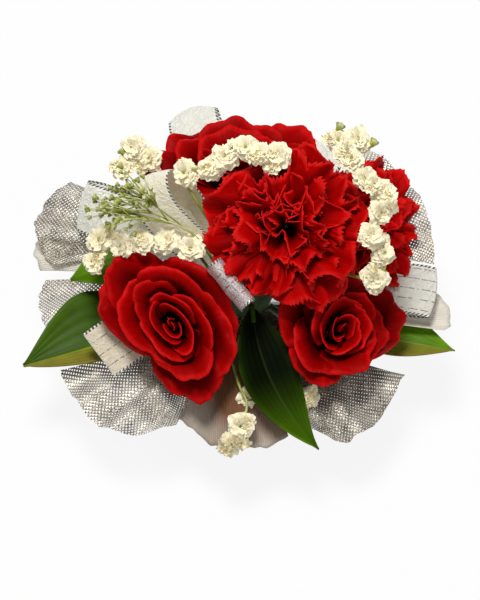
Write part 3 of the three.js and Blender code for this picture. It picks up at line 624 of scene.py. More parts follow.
@dataclass(frozen=True)
class PetalFinish:
    """Velvety petal, darker at its foot as painted shade in the flower's folds and lighter along its rim as
    painted highlight.

    Attributes:
        deep: Painted shade colour at the foot of a petal.
        body: Colour of its middle.
        rim: Colour near its rim, lighter than the middle as painted highlight.
        edge: Colour of the thin edge, the lightest, as painted highlight.
        veins: How closely the veins lie across a petal.
        shading: How dark and how light the veins and blotches make it.
        relief: Depth of its veins in millimetres.
    """

    name: str
    deep: Colour
    body: Colour
    rim: Colour
    edge: Colour
    roughness: float
    veins: float = 26.0
    shading: Pair = (0.72, 1.12)
    specular: float = 0.04
    relief: float = 0.25

    def build(self, shared: SharedEffects) -> Material:
        """Make the material.

        Args:
            shared: The shared effects.

        Returns:
            The material.
        """
        paint = Paint(self.name)
        u, v = paint.flat_pattern()
        tone = paint.tone()
        veins = paint.grain(paint.vector(paint.math("MULTIPLY", u, self.veins), v, tone), 1.6, 3.0)
        mottle = paint.group(shared.mottle, Scale=140.0, Fine_Scale=2200.0)
        # Colour ramp from the petal's foot to its edge: painted shade at the foot, the petal's own red in the
        # middle, painted highlight along the rim and edge.
        colour = paint.ramp(v, [(0.35, self.deep), (0.7, self.body), (0.92, self.rim), (0.985, self.edge)])
        shade = paint.span(paint.math("ADD", veins, mottle["Blotch"]), 0.6, 1.4, *self.shading)
        paint.set("Base Color", paint.scaled(colour, shade))
        paint.roughen(mottle["Fine"], self.roughness - 0.08, self.roughness + 0.12)
        height = paint.plus(veins, mottle["Fine"], 0.3)
        paint.set("Normal", paint.bump(height, self.relief, 0.5))
        paint.set("Specular IOR Level", self.specular)
        return paint.material


@dataclass(frozen=True)
class LeafFinish:
    """Glossy leaf with veins that run from stalk to tip; a low shading value gives painted shade, and a high
    one gives the pale colour, partly the paler underside and partly a painted reflection.
    """

    name: str = "leaf_green"
    dark: Colour = (0.002, 0.005, 0.0006)
    green: Colour = (0.05, 0.112, 0.0015)
    fresh: Colour = (0.12, 0.27, 0.003)
    pale: Colour = (0.25, 0.21, 0.03)
    midrib: Colour = (0.2, 0.27, 0.06)
    veins: int = 9
    specular: float = 0.06
    relief: float = 0.06

    def build(self, shared: SharedEffects) -> Material:
        """Make the material.

        Args:
            shared: The shared effects.

        Returns:
            The material.
        """
        paint = Paint(self.name)
        u, v = paint.flat_pattern()
        mottle = paint.group(shared.mottle, Scale=110.0, Fine_Scale=2500.0)
        wave = paint.math("SINE", paint.math("MULTIPLY", u, 2 * math.pi * self.veins))
        streak = paint.grain(paint.vector(paint.math("MULTIPLY", u, 30.0), v, 0.0), 2.0, 3.0)
        # Shading value ramp: the dark end is painted shade; the pale end is partly the paler underside and
        # partly a painted reflection.
        colour = paint.ramp(paint.tone(), [
            (0.0, self.dark), (0.5, self.green), (0.7, self.fresh), (1.0, self.pale)])
        lines = paint.span(paint.plus(wave, streak, 3.0), 0.0, 3.4, 0.86, 1.14)
        blotch = paint.span(mottle["Blotch"], *NOISE_RANGE, 0.78, 1.18)
        shaded = paint.scaled(colour, paint.math("MULTIPLY", lines, blotch))
        rib = paint.span(paint.math("ABSOLUTE", paint.math("SUBTRACT", u, 0.5)), 0.008, 0.03, 0.06, 0.0)
        paint.set("Base Color", paint.mix(rib, shaded, self.midrib))
        paint.roughen(mottle["Fine"], 0.3, 0.46)
        paint.set("Specular IOR Level", self.specular)
        height = paint.plus(wave, mottle["Fine"], 0.6)
        paint.set("Normal", paint.bump(height, self.relief, 0.5))
        return paint.material


@dataclass(frozen=True)
class SheerFinish:
    """Sheer crumpled ribbon with broken metal threads and twisted bright selvedges; u and v are millimetres.

    The piece's shading value is above 0 where a fold catches the light, for a painted highlight, and below 0
    inside a loop, for painted shade.

    Attributes:
        veil: Colour of the weave.
        cover: How far the weave hides what lies behind it, from 0 to 1.
        along: Pitch of the metal threads that run along the ribbon, or 0 for none.
        across: Pitch of those that run across it, or 0 for none.
        glitter: Share of the weave that sparkles.
        selvedge: Width of each selvedge.
        thread: Width of a metal thread.
        glow: Emission as a share of its colour, painted light that stands in for the light that the weave
            lets through.
        weave: Pitch of the weave's threads.
        lit: Colour of a fold that catches the light.
        sparkle: Colour that the sparkles are mixed with.
        cord: Places and colours across one strand of the twisted selvedge, from dark to bright: partly the
            cord's own dark and silver threads and partly painted shade and glint on each round strand.
    """

    name: str
    veil: Colour
    cover: float
    along: float = 0.0
    across: float = 0.0
    glitter: float = 0.0
    half_width: float = 8.0
    selvedge: float = 0.7
    thread: float = 0.28
    metal: Colour = (0.05, 0.045, 0.04)
    glow: float = 0.05
    weave: float = 0.42
    # Colour that the creases are lightened towards: painted highlight where they catch the light.
    crease: Colour = (1.0, 0.98, 0.92)
    lit: Colour = (1.0, 1.0, 0.95)
    sparkle: Colour = (1.0, 0.94, 1.0)
    cord: tuple[tuple[float, Colour], ...] = (
        (0.0, (0.02, 0.018, 0.015)), (0.4, (0.3, 0.27, 0.24)), (1.0, (0.98, 0.97, 0.93)))

    def crumples(self, paint: Paint, u: object, v: object) -> object:
        """Find the sharp creases of crumpled ribbon.

        Args:
            paint: Canvas of the material.
            u: Place across the ribbon.
            v: Place along it.

        Returns:
            A value that is high along the creases.
        """
        shift = paint.math("MULTIPLY", paint.grain(paint.vector(u, v, 5.0), 0.5), 2.4)
        place = paint.vector(paint.math("ADD", u, shift), v, shift)
        cells = paint.fed(
            "ShaderNodeTexVoronoi", {"Vector": place, "Scale": 0.5}, feature="DISTANCE_TO_EDGE")
        return paint.span(cells["Distance"], 0.0, 0.14, 1.0, 0.0)

    def metal_threads(self, paint: Paint, run: object, pitch: float, broken: object) -> object:
        """Draw broken metal threads.

        Args:
            paint: Canvas of the material.
            run: Place across the threads.
            pitch: Distance between threads, or 0 for none.
            broken: Mask that breaks them.

        Returns:
            The mask of the threads.
        """
        if not pitch:
            return 0.0
        phase = paint.math("FRACT", paint.math("DIVIDE", run, pitch))
        return paint.math("MULTIPLY", paint.math("LESS_THAN", phase, self.thread / pitch), broken)

    def build(self, shared: SharedEffects) -> Material:
        """Make the material.

        Args:
            shared: The shared effects.

        Returns:
            The material.
        """
        paint = Paint(self.name)
        u, v = paint.flat_pattern()
        place = paint.vector(u, v, 0.0)
        mottle = paint.group(shared.mottle, Scale=260.0, Fine_Scale=3000.0)
        weave = paint.group(shared.threads, U=u, V=v, Pitch=self.weave, Share=0.55)
        edge = paint.math("GREATER_THAN", paint.math("ABSOLUTE", u), self.half_width - self.selvedge)
        broken = paint.math("GREATER_THAN", paint.grain(place, 0.9), 0.47)
        thread = paint.math("MAXIMUM", self.metal_threads(paint, u, self.along, broken),
                            self.metal_threads(paint, v, self.across, broken))
        lay = paint.plus(paint.math("MULTIPLY", v, 5.0), u, 4.0)
        # The twisted selvedge's colours: partly its own dark and silver threads, partly painted shade and
        # glint across each strand.
        cord = paint.ramp(paint.span(paint.math("SINE", lay), -1.0, 1.0, 0.0, 1.0), self.cord)
        crinkle = paint.grain(paint.vector(paint.math("MULTIPLY", u, 0.6), v, 2.0), 0.8, 4.0)
        shade = paint.span(paint.math("ADD", mottle["Blotch"], crinkle), 0.75, 1.25, 0.0, 1.0)
        cloth = paint.mix(shade, tuple(c * 0.88 for c in self.veil), self.veil)
        creases = self.crumples(paint, u, v)
        # The creases are lightened as painted highlight.
        cloth = paint.mix(paint.math("MULTIPLY", creases, 0.45), cloth, self.crease)
        fold = paint.tone()
        # Inside a loop the ribbon is mixed towards a darker colour as painted shade; where a fold catches the
        # light it is mixed towards the lit colour as painted highlight.
        inside = tuple(c * c * 0.42 for c in self.veil)
        cloth = paint.mix(paint.span(fold, -1.0, 0.0, 1.0, 0.0), cloth, inside)
        cloth = paint.mix(paint.span(fold, 0.0, 1.0, 0.0, 1.0), cloth, self.lit)
        speck = paint.math("GREATER_THAN", paint.grain(place, 2.6, 0.0), 1.0 - 0.48 * self.glitter)
        spark = paint.fed("ShaderNodeTexNoise", {"Vector": paint.vector(u, v, 3.0), "Scale": 1.7})
        cloth = paint.mix(speck, cloth, paint.mix(0.45, spark["Color"], self.sparkle))
        cloth = paint.mix(paint.math("MULTIPLY", thread, 0.8), cloth, self.metal)
        colour = paint.mix(edge, cloth, cord)
        paint.set("Base Color", colour)
        # The emission is painted light, standing in for light that comes through the weave.
        paint.set("Emission Color", colour)
        paint.set("Emission Strength", self.glow)
        cover = paint.span(weave["Mask"], 0.0, 1.0, self.cover - 0.25, self.cover)
        solid = paint.math("MAXIMUM", paint.math("MAXIMUM", cover, thread), edge)
        paint.set("Alpha", solid)
        paint.set("Metallic", paint.math("MULTIPLY", edge, 0.5))
        paint.roughen(mottle["Fine"], 0.3, 0.5)
        height = paint.math("ADD", paint.plus(weave["Height"], crinkle, 2.0), creases)
        paint.set("Normal", paint.bump(height, 0.3, 0.7))
        return paint.material


@dataclass(frozen=True)
class NetFinish:
    """Net of crossed silver threads, closer and darker where the piece's shading value is high, the darkening
    being painted shade; u and v are in mm.
    """

    name: str = "silver_net"
    pitch: float = 0.95
    open_share: float = 0.46
    close_share: float = 0.9
    dark: Colour = (0.13, 0.108, 0.082)
    bright: Colour = (0.66, 0.6, 0.49)

    def build(self, shared: SharedEffects) -> Material:
        """Make the material.

        Args:
            shared: The shared effects.

        Returns:
            The material.
        """
        paint = Paint(self.name)
        u, v = paint.flat_pattern()
        rise = paint.math("ADD", u, v)
        fall = paint.math("SUBTRACT", u, v)
        share = paint.span(paint.tone(), 0.0, 1.0, self.open_share, self.close_share)
        pitch = self.pitch * math.sqrt(2)
        weave = paint.group(shared.threads, U=rise, V=fall, Pitch=pitch, Share=share)
        mottle = paint.group(shared.mottle, Scale=240.0, Fine_Scale=2600.0)
        glint = paint.plus(paint.math("MULTIPLY", mottle["Fine"], 0.75), mottle["Blotch"], 0.5)
        # A high shading value darkens the threads near the hub as painted shade.
        glint = paint.math("SUBTRACT", glint, paint.math("MULTIPLY", paint.tone(), 0.16))
        paint.set("Base Color", paint.ramp(glint, [(0.45, self.dark), (0.68, self.bright)]))
        paint.set("Alpha", weave["Mask"])
        paint.set("Metallic", paint.span(glint, 0.5, 0.7, 0.2, 0.7))
        paint.roughen(mottle["Fine"], 0.28, 0.5)
        paint.set("Normal", paint.bump(weave["Height"], 0.3))
        return paint.material


@dataclass(frozen=True)
class ClothFinish:
    """Close woven cloth, such as satin or ribbed elastic; u and v are millimetres.

    Attributes:
        colour: Colour on the ribs.
        shade: Colour between the ribs, darker as painted shade in the grooves.
        deep: Painted shade colour, mixed in as far as the piece's shading value reaches, fully at one.
        pitch: Pitch of the threads.
        ribs: Pitch of the ribs.
    """

    name: str
    colour: Colour
    shade: Colour
    deep: Colour
    pitch: float
    ribs: float
    roughness: float
    sheen: float

    def build(self, shared: SharedEffects) -> Material:
        """Make the material.

        Args:
            shared: The shared effects.

        Returns:
            The material.
        """
        paint = Paint(self.name)
        u, v = paint.flat_pattern()
        weave = paint.group(shared.threads, U=u, V=v, Pitch=self.pitch, Share=0.8)
        mottle = paint.group(shared.mottle, Scale=180.0, Fine_Scale=2400.0)
        rib = paint.math("ABSOLUTE", paint.math("SINE", paint.math("MULTIPLY", u, math.pi / self.ribs)))
        # Darker between the ribs as painted shade, with random blotches.
        mask = paint.math("MULTIPLY", paint.math("ADD", rib, mottle["Blotch"]), 0.6)
        cloth = paint.mix(mask, self.shade, self.colour)
        # The shading value mixes in the deep colour as painted shade.
        paint.set("Base Color", paint.mix(paint.tone(), cloth, self.deep))
        paint.roughen(mottle["Fine"], self.roughness - 0.08, self.roughness + 0.1)
        height = paint.plus(rib, weave["Height"], 0.7)
        paint.set("Normal", paint.bump(height, 0.16, 0.8))
        paint.set("Sheen Weight", self.sheen)
        return paint.material


@dataclass(frozen=True)
class RampFinish:
    """Matt plant finish whose colour follows the piece's shading value.

    Attributes:
        stops: Places and colours along the shading value.
        grain: Depth of the fine grain in millimetres.
        glow: Emission as a share of their colour, painted light that stands in for the light that thin petals
            let through.
    """

    name: str
    stops: tuple[tuple[float, Colour], ...]
    roughness: float
    grain: float = 0.15
    glow: float = 0.0

    def build(self, shared: SharedEffects) -> Material:
        """Make the material.

        Args:
            shared: The shared effects.

        Returns:
            The material.
        """
        paint = Paint(self.name)
        mottle = paint.group(shared.mottle, Scale=420.0, Fine_Scale=3200.0)
        shade = paint.span(mottle["Blotch"], *NOISE_RANGE, 0.82, 1.1)
        colour = paint.scaled(paint.ramp(paint.tone(), self.stops), shade)
        paint.set("Base Color", colour)
        paint.roughen(mottle["Fine"], self.roughness - 0.1, self.roughness + 0.1)
        paint.set("Normal", paint.bump(mottle["Fine"], self.grain, 0.6))
        # The emission is painted light, standing in for light that comes through thin petals.
        paint.set("Emission Color", colour)
        paint.set("Emission Strength", self.glow)
        return paint.material


@dataclass(frozen=True)
class SteelFinish:
    """Stamped bright steel, brushed along X and dulled where it is worn."""

    name: str = "stamped_steel"
    colour: Colour = (0.62, 0.63, 0.65)
    worn: Colour = (0.38, 0.38, 0.4)
    brush: Triple = (60.0, 2400.0, 2400.0)

    def build(self, shared: SharedEffects) -> Material:
        """Make the material.

        Args:
            shared: The shared effects.

        Returns:
            The material.
        """
        paint = Paint(self.name)
        place = paint.node("ShaderNodeTexCoord").outputs["Object"]
        stretched = paint.fed("ShaderNodeMapping", {"Vector": place, "Scale": self.brush})[0]
        brushed = paint.grain(stretched, 1.0, 3.0)
        mottle = paint.group(shared.mottle, Scale=200.0, Fine_Scale=1800.0)
        worn = paint.span(mottle["Blotch"], 0.35, 0.7, 0.0, 0.35)
        paint.set("Base Color", paint.mix(worn, self.colour, self.worn))
        paint.set("Roughness", paint.span(brushed, 0.25, 0.75, 0.24, 0.46))
        paint.set("Normal", paint.bump(brushed, 0.05, 0.5))
        paint.set("Metallic", 1.0)
        return paint.material


class Finishes:
    """Every material of the corsage, built once."""

    def __init__(self, shared: SharedEffects) -> None:
        """Build the materials.

        Args:
            shared: The shared effects.
        """
        self.rose = PetalFinish(
            "rose_petal", (0.018, 0.0, 0.0), (0.17, 0.0, 0.0), (0.38, 0.0, 0.0),
            (0.66, 0.006, 0.006), 0.5).build(shared)
        self.carnation = PetalFinish(
            "carnation_petal", (0.05, 0.0, 0.0), (0.26, 0.0, 0.0), (0.5, 0.0, 0.0),
            (0.72, 0.012, 0.01), 0.6).build(shared)
        self.leaf = LeafFinish().build(shared)
        looks = {
            Ribbon.WHITE: SheerFinish("sheer_ribbon", (1.0, 1.0, 0.88), 0.9),
            Ribbon.DASHED: SheerFinish("sheer_ribbon_dashed", (1.0, 0.98, 0.86), 0.86, along=3.2, glow=0.0),
            Ribbon.TAUPE: SheerFinish("sheer_ribbon_taupe", (1.0, 0.92, 0.7), 0.95, glow=0.14),
            Ribbon.LINED: SheerFinish(
                "sheer_ribbon_lined", (0.86, 0.75, 0.54), 0.88, along=4.2, metal=(0.1, 0.035, 0.02)),
            Ribbon.GLITTER: SheerFinish(
                "sheer_ribbon_glitter", (0.52, 0.27, 0.22), 1.0, along=4.0, across=2.7, glitter=0.98),
        }
        self.ribbon = {look: finish.build(shared) for look, finish in looks.items()}
        self.net = NetFinish().build(shared)
        # The satin's deep colour is painted shade that the flowers cast on it.
        self.satin = ClothFinish(
            "white_satin", (0.88, 0.83, 0.72), (0.76, 0.69, 0.56), (0.2, 0.075, 0.022),
            pitch=0.3, ribs=0.6, roughness=0.36, sheen=0.2).build(shared)
        self.elastic = ClothFinish(
            "white_elastic", (0.84, 0.83, 0.8), (0.62, 0.61, 0.58), (0.5, 0.5, 0.48),
            pitch=0.7, ribs=RIB_PITCH, roughness=0.7, sheen=0.15).build(shared)
        self.tape = RampFinish(
            "stem_tape", ((0.0, (0.05, 0.1, 0.03)), (1.0, (0.1, 0.2, 0.06))), 0.55, grain=0.3).build(shared)
        self.calyx = RampFinish(
            "calyx_green", ((0.0, (0.1, 0.2, 0.05)), (1.0, (0.2, 0.34, 0.1))), 0.5).build(shared)
        # Filler petals are yellower towards their foot, partly the floret's own colour and partly painted
        # shade among the petals; their emission is painted light.
        self.filler = RampFinish(
            "filler_petal", ((0.0, (0.2, 0.24, 0.03)), (0.32, (0.55, 0.5, 0.16)), (0.5, (0.9, 0.82, 0.55)),
                             (1.0, (1.0, 0.92, 0.67))), 0.6, glow=0.06).build(shared)
        # Buds and stems are paler towards their tips, partly their own paler crowns and partly painted
        # highlight.
        self.bud = RampFinish(
            "green_bud", ((0.0, (0.16, 0.19, 0.02)), (0.5, (0.38, 0.42, 0.06)), (1.0, (0.75, 0.74, 0.4))),
            0.5).build(shared)
        self.steel = SteelFinish().build(shared)


# Layout
@dataclass(frozen=True)
class FacePlane:
    """The corsage's face: across to the right, up the face and out towards the viewer, from the hub.

    Attributes:
        hub_height: Height of the hub's centre in millimetres.
        angle: Angle of the face's normal above the table in degrees.
    """

    hub_height: float
    hub_radius: float = 8.5
    angle: float = 60.0

    def offset(self, across: float, up: float, out: float) -> np.ndarray:
        """Return a step on the face as a step in the frame."""
        sine, cosine = math.sin(math.radians(self.angle)), math.cos(math.radians(self.angle))
        return np.array([across, up * sine - out * cosine, up * cosine + out * sine])

    def point(self, across: float, up: float, out: float) -> np.ndarray:
        """Return a point on the face in the frame."""
        return self.offset(across, up, out) + UP * self.hub_height

    def at_height(self, across: float, up: float, height: float) -> np.ndarray:
        """Return the point that shows at the same place, at a height above the table."""
        sine, cosine = math.sin(math.radians(self.angle)), math.cos(math.radians(self.angle))
        return self.point(across, up, (height - self.hub_height - up * cosine) / sine)

    def seen(self, across: float, up: float, out: float) -> np.ndarray:
        """Return the point that shows at a place on the face when it is looked at from one metre away."""
        near = 1.0 - out * MM
        return self.point(across * near, up * near, out)

    def direction(self, across: float, up: float, out: float) -> np.ndarray:
        """Return a direction on the face in the frame."""
        return unit(self.offset(across, up, out))

    def port(self, leave: Triple) -> np.ndarray:
        """Return where a stem that leaves the hub in a direction begins."""
        return UP * self.hub_height + self.direction(*leave) * (self.hub_radius + CLEARANCE)


# Flowers
@dataclass
class Flower:
    """What every flower has: its place, the way it faces, its stem and its sizes.

    Attributes:
        name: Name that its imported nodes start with.
        face: Middle of its face: across, up and out.
        facing: The way it faces: across, up and out.
        leave: The way its stem leaves the hub.
        depth: Depth from its face to the foot of its petals.
    """

    name: str
    face: Triple
    facing: Triple
    leave: Triple
    diameter: float
    depth: float
    seed: int

    def axis(self, plane: FacePlane) -> np.ndarray:
        """Return the direction that the flower faces in the frame."""
        return plane.direction(*self.facing)

    def foot(self, plane: FacePlane) -> np.ndarray:
        """Return the foot of the petals in the frame."""
        return plane.point(*self.face) - self.axis(plane) * self.depth

    def stem(self, plane: FacePlane, calyx: float, finish: Material) -> None:
        """Make the taped, wired stem from the hub to the calyx.

        Args:
            plane: The corsage's face.
            calyx: Length of the calyx above the stem's end.
            finish: The tape's material.
        """
        start = plane.port(self.leave)
        axis = self.axis(plane)
        end = self.foot(plane) - axis * (calyx + CLEARANCE)
        reach = np.linalg.norm(end - start) / 3
        q = np.linspace(0.0, 1.0, 40)[:, None]
        first = start + plane.direction(*self.leave) * reach
        last = end - axis * reach
        p = 1 - q
        way = p ** 3 * start + 3 * p * p * q * first + 3 * p * q * q * last + q ** 3 * end
        stem = make_piece(f"{self.name}_taped_stem", taped(way, STEM_RADIUS, STEM_WRAP), finish)
        settle(stem, "tape", f"{self.name}_stem")


def taped(way: np.ndarray, radius: float, wrap: float, sides: int = 16) -> Surface:
    """Return a tube whose tape winds up it with a small step at each lap.

    Args:
        way: Points that the tube follows.
        radius: Radius over the tape.
        wrap: Rise of the tape in one turn.
        sides: Number of columns round the tube.

    Returns:
        The closed surface.
    """
    turn = np.arange(sides) / sides
    lap = (run_length(way)[:, None] / wrap + turn[None, :]) % 1.0
    return tube(way, radius * (0.9 + 0.1 * lap), sides)


@dataclass
class Rose(Flower):
    """A spray rose: petals on a golden spiral, rolled at the heart and curled back outside.

    Attributes:
        long_way: Angle on the flower's face that the pressed flower is longest along, in degrees.
        pressed: Width across that direction as a share of the length, at the heart and at the rim.
        heart: Number of petals that the rolled heart has.
        length: Length of the innermost and of the outermost petal; each later pair is for those two.
        lean: Angle of a petal's foot from the flower's axis, in degrees.
        tip: Angle of its upper part.
        curl: Angle that its rim curls back by.
        spread: Half the angle that it takes round the axis.
        lap: How far one side stands outside the next petal.
    """

    long_way: float = 0.0
    pressed: Pair = (0.62, 0.9)
    petals: int = 18
    heart: int = 6
    columns: int = 41
    rows: int = 23
    petal_thickness: float = 0.22
    calyx_length: float = 5.5
    length: Pair = (14.5, 22.5)
    lean: Pair = (12.0, 54.0)
    tip: Pair = (-12.0, 46.0)
    curl: Pair = (24.0, 92.0)
    spread: Pair = (112.0, 60.0)
    root_radius: Pair = (0.7, 4.2)
    root_height: Pair = (2.6, 0.6)
    lap: Pair = (0.6, 1.8)
    ripple: Pair = (1.6, 3.4)

    def petal(self, number: int, draw: random.Random) -> Surface:
        """Return one petal on the flower's own axis.

        Args:
            number: Place of the petal, counted from the heart.
            draw: Source of its random draws.

        Returns:
            The petal as a sheet.
        """
        share = number / (self.petals - 1)
        length = between(*self.length, share) * draw.uniform(0.9, 1.08)
        lean = math.radians(between(*self.lean, share ** 0.8) + draw.uniform(-5, 5))
        tip = math.radians(between(*self.tip, share ** 0.8) + draw.uniform(-8, 8))
        curl = math.radians(between(*self.curl, share) * draw.uniform(0.6, 1.3))
        spread = math.radians(between(*self.spread, share ** 0.6))
        turn = number * GOLDEN_TURN + draw.uniform(-0.35, 0.35)
        s, t = patch(self.columns, self.rows)
        point = between(0.0, 0.1, share) * np.exp(-(s / 0.22) ** 2)
        side = 1.0 - between(0.26, 0.4, share) * np.abs(s) ** 2.6 + point
        step = length * side / (self.rows - 1)
        rolled = curl * smooth(0.66, 1.05, t) * (0.7 + 0.7 * s ** 2)
        slope = lean + (tip - lean) * smooth(0.0, 0.8, t) + rolled
        radius = between(*self.root_radius, share) + np.cumsum(step * np.sin(slope), axis=0)
        rise = between(*self.root_height, share) + np.cumsum(step * np.cos(slope), axis=0)
        widen = 0.42 + 0.58 * np.sin(math.pi * np.minimum(0.6, 0.85 * t))
        angle = turn + s * spread * widen
        radius = np.maximum(radius - between(*self.lap, share) * s * smooth(0.1, 0.8, t), 0.3)
        points = np.stack([radius * np.cos(angle), radius * np.sin(angle), rise], axis=-1)
        ripple = wobble(points, 0.17, self.seed + number * 3.7) * smooth(0.25, 1.0, t)
        crease = wobble(points, 0.42, self.seed + number * 1.9) * smooth(0.55, 1.0, t)
        crimp = wobble(points, 0.8, self.seed + number * 5.3) * smooth(0.8, 1.0, t)
        points[..., 2] += ripple * between(*self.ripple, share) + crease * 0.6 + crimp * 0.25
        points[..., :2] *= (1.0 + 0.08 * ripple + 0.025 * crease + 0.012 * crimp)[..., None]
        uv = np.stack([(s + 1) / 2, t], axis=-1)
        return Surface.grid(points, uv, np.full(s.shape, draw.random() * 4))

    def pressed_together(self, sheets: Sequence[Surface]) -> None:
        """Press the petals out of round and bring the flower to its diameter and depth.

        Args:
            sheets: The petals, which it moves.
        """
        angle = math.radians(self.long_way)
        turn = np.array([[math.cos(angle), -math.sin(angle)], [math.sin(angle), math.cos(angle)]])
        every = np.vstack([sheet.points for sheet in sheets])
        middle = (every[:, :2].max(axis=0) + every[:, :2].min(axis=0)) / 2
        radii = np.linalg.norm(every[:, :2] - middle, axis=1)
        reach = self.diameter / 2 / np.quantile(radii, 0.995)
        rise = self.depth / every[:, 2].max()
        inner, outer = self.pressed
        for sheet in sheets:
            inward = 1 - smooth(0, 0.6, sheet.points[:, 2:] / every[:, 2].max())
            flat = (sheet.points[:, :2] - middle * (1 - inward)) @ turn * reach
            out = smooth(0.1, 0.8, np.hypot(flat[:, 0], flat[:, 1]) / (self.diameter / 2))
            flat[:, 1] *= inner + (outer - inner) * out
            sheet.points = np.column_stack([flat @ turn.T, sheet.points[:, 2] * rise])

    def build(self, plane: FacePlane, finishes: Finishes) -> None:
        """Make the heart, the open petals, the calyx and the stem.

        Args:
            plane: The corsage's face.
            finishes: The materials.
        """
        draw = random.Random(self.seed)
        sheets = [self.petal(i, draw) for i in range(self.petals)]
        self.pressed_together(sheets)
        sheets = [sheet.placed(self.foot(plane), self.axis(plane)) for sheet in sheets]
        for piece, node, petals in (
            ("heart", "bud", sheets[:self.heart]), ("open_petals", "petals", sheets[self.heart:]),
        ):
            made = make_piece(
                f"{self.name}_{piece}", Surface.joined(petals), finishes.rose, self.petal_thickness)
            settle(made, "rose_petal", f"{self.name}_{node}")
        self.calyx(plane, finishes.calyx)
        self.stem(plane, self.calyx_length, finishes.tape)

    def calyx(self, plane: FacePlane, finish: Material) -> None:
        """Make the green cup and its five folded sepals.

        Args:
            plane: The corsage's face.
            finish: Their material.
        """
        foot = -self.calyx_length
        profile = [(0, foot), (1.6, foot), (2.6, -4.9), (3.9, -3.6), (4.4, -2.4), (4.9, -1.0),
                   (5.4, -CLEARANCE), (0, -CLEARANCE)]
        parts = [lathe(profile, 24)]
        s, t = patch(5, 10)
        half = 2.2 * np.sin(math.pi * (0.3 + 0.69 * t)) * (1 - 0.3 * t)
        radius = 4.6 + 5.4 * t
        height = -0.5 - 2.0 * t * t - 0.5 * (1 - s * s)
        for i in range(SEPALS):
            sepal = round_axis(radius, s * half, height, 0.3 + i * 2 * math.pi / SEPALS)
            parts.append(Surface.grid(sepal, np.stack([s, t], axis=-1), t))
        cup = Surface.joined(parts).placed(self.foot(plane), self.axis(plane))
        settle(make_piece(f"{self.name}_sepals", cup, finish), "calyx", f"{self.name}_calyx")


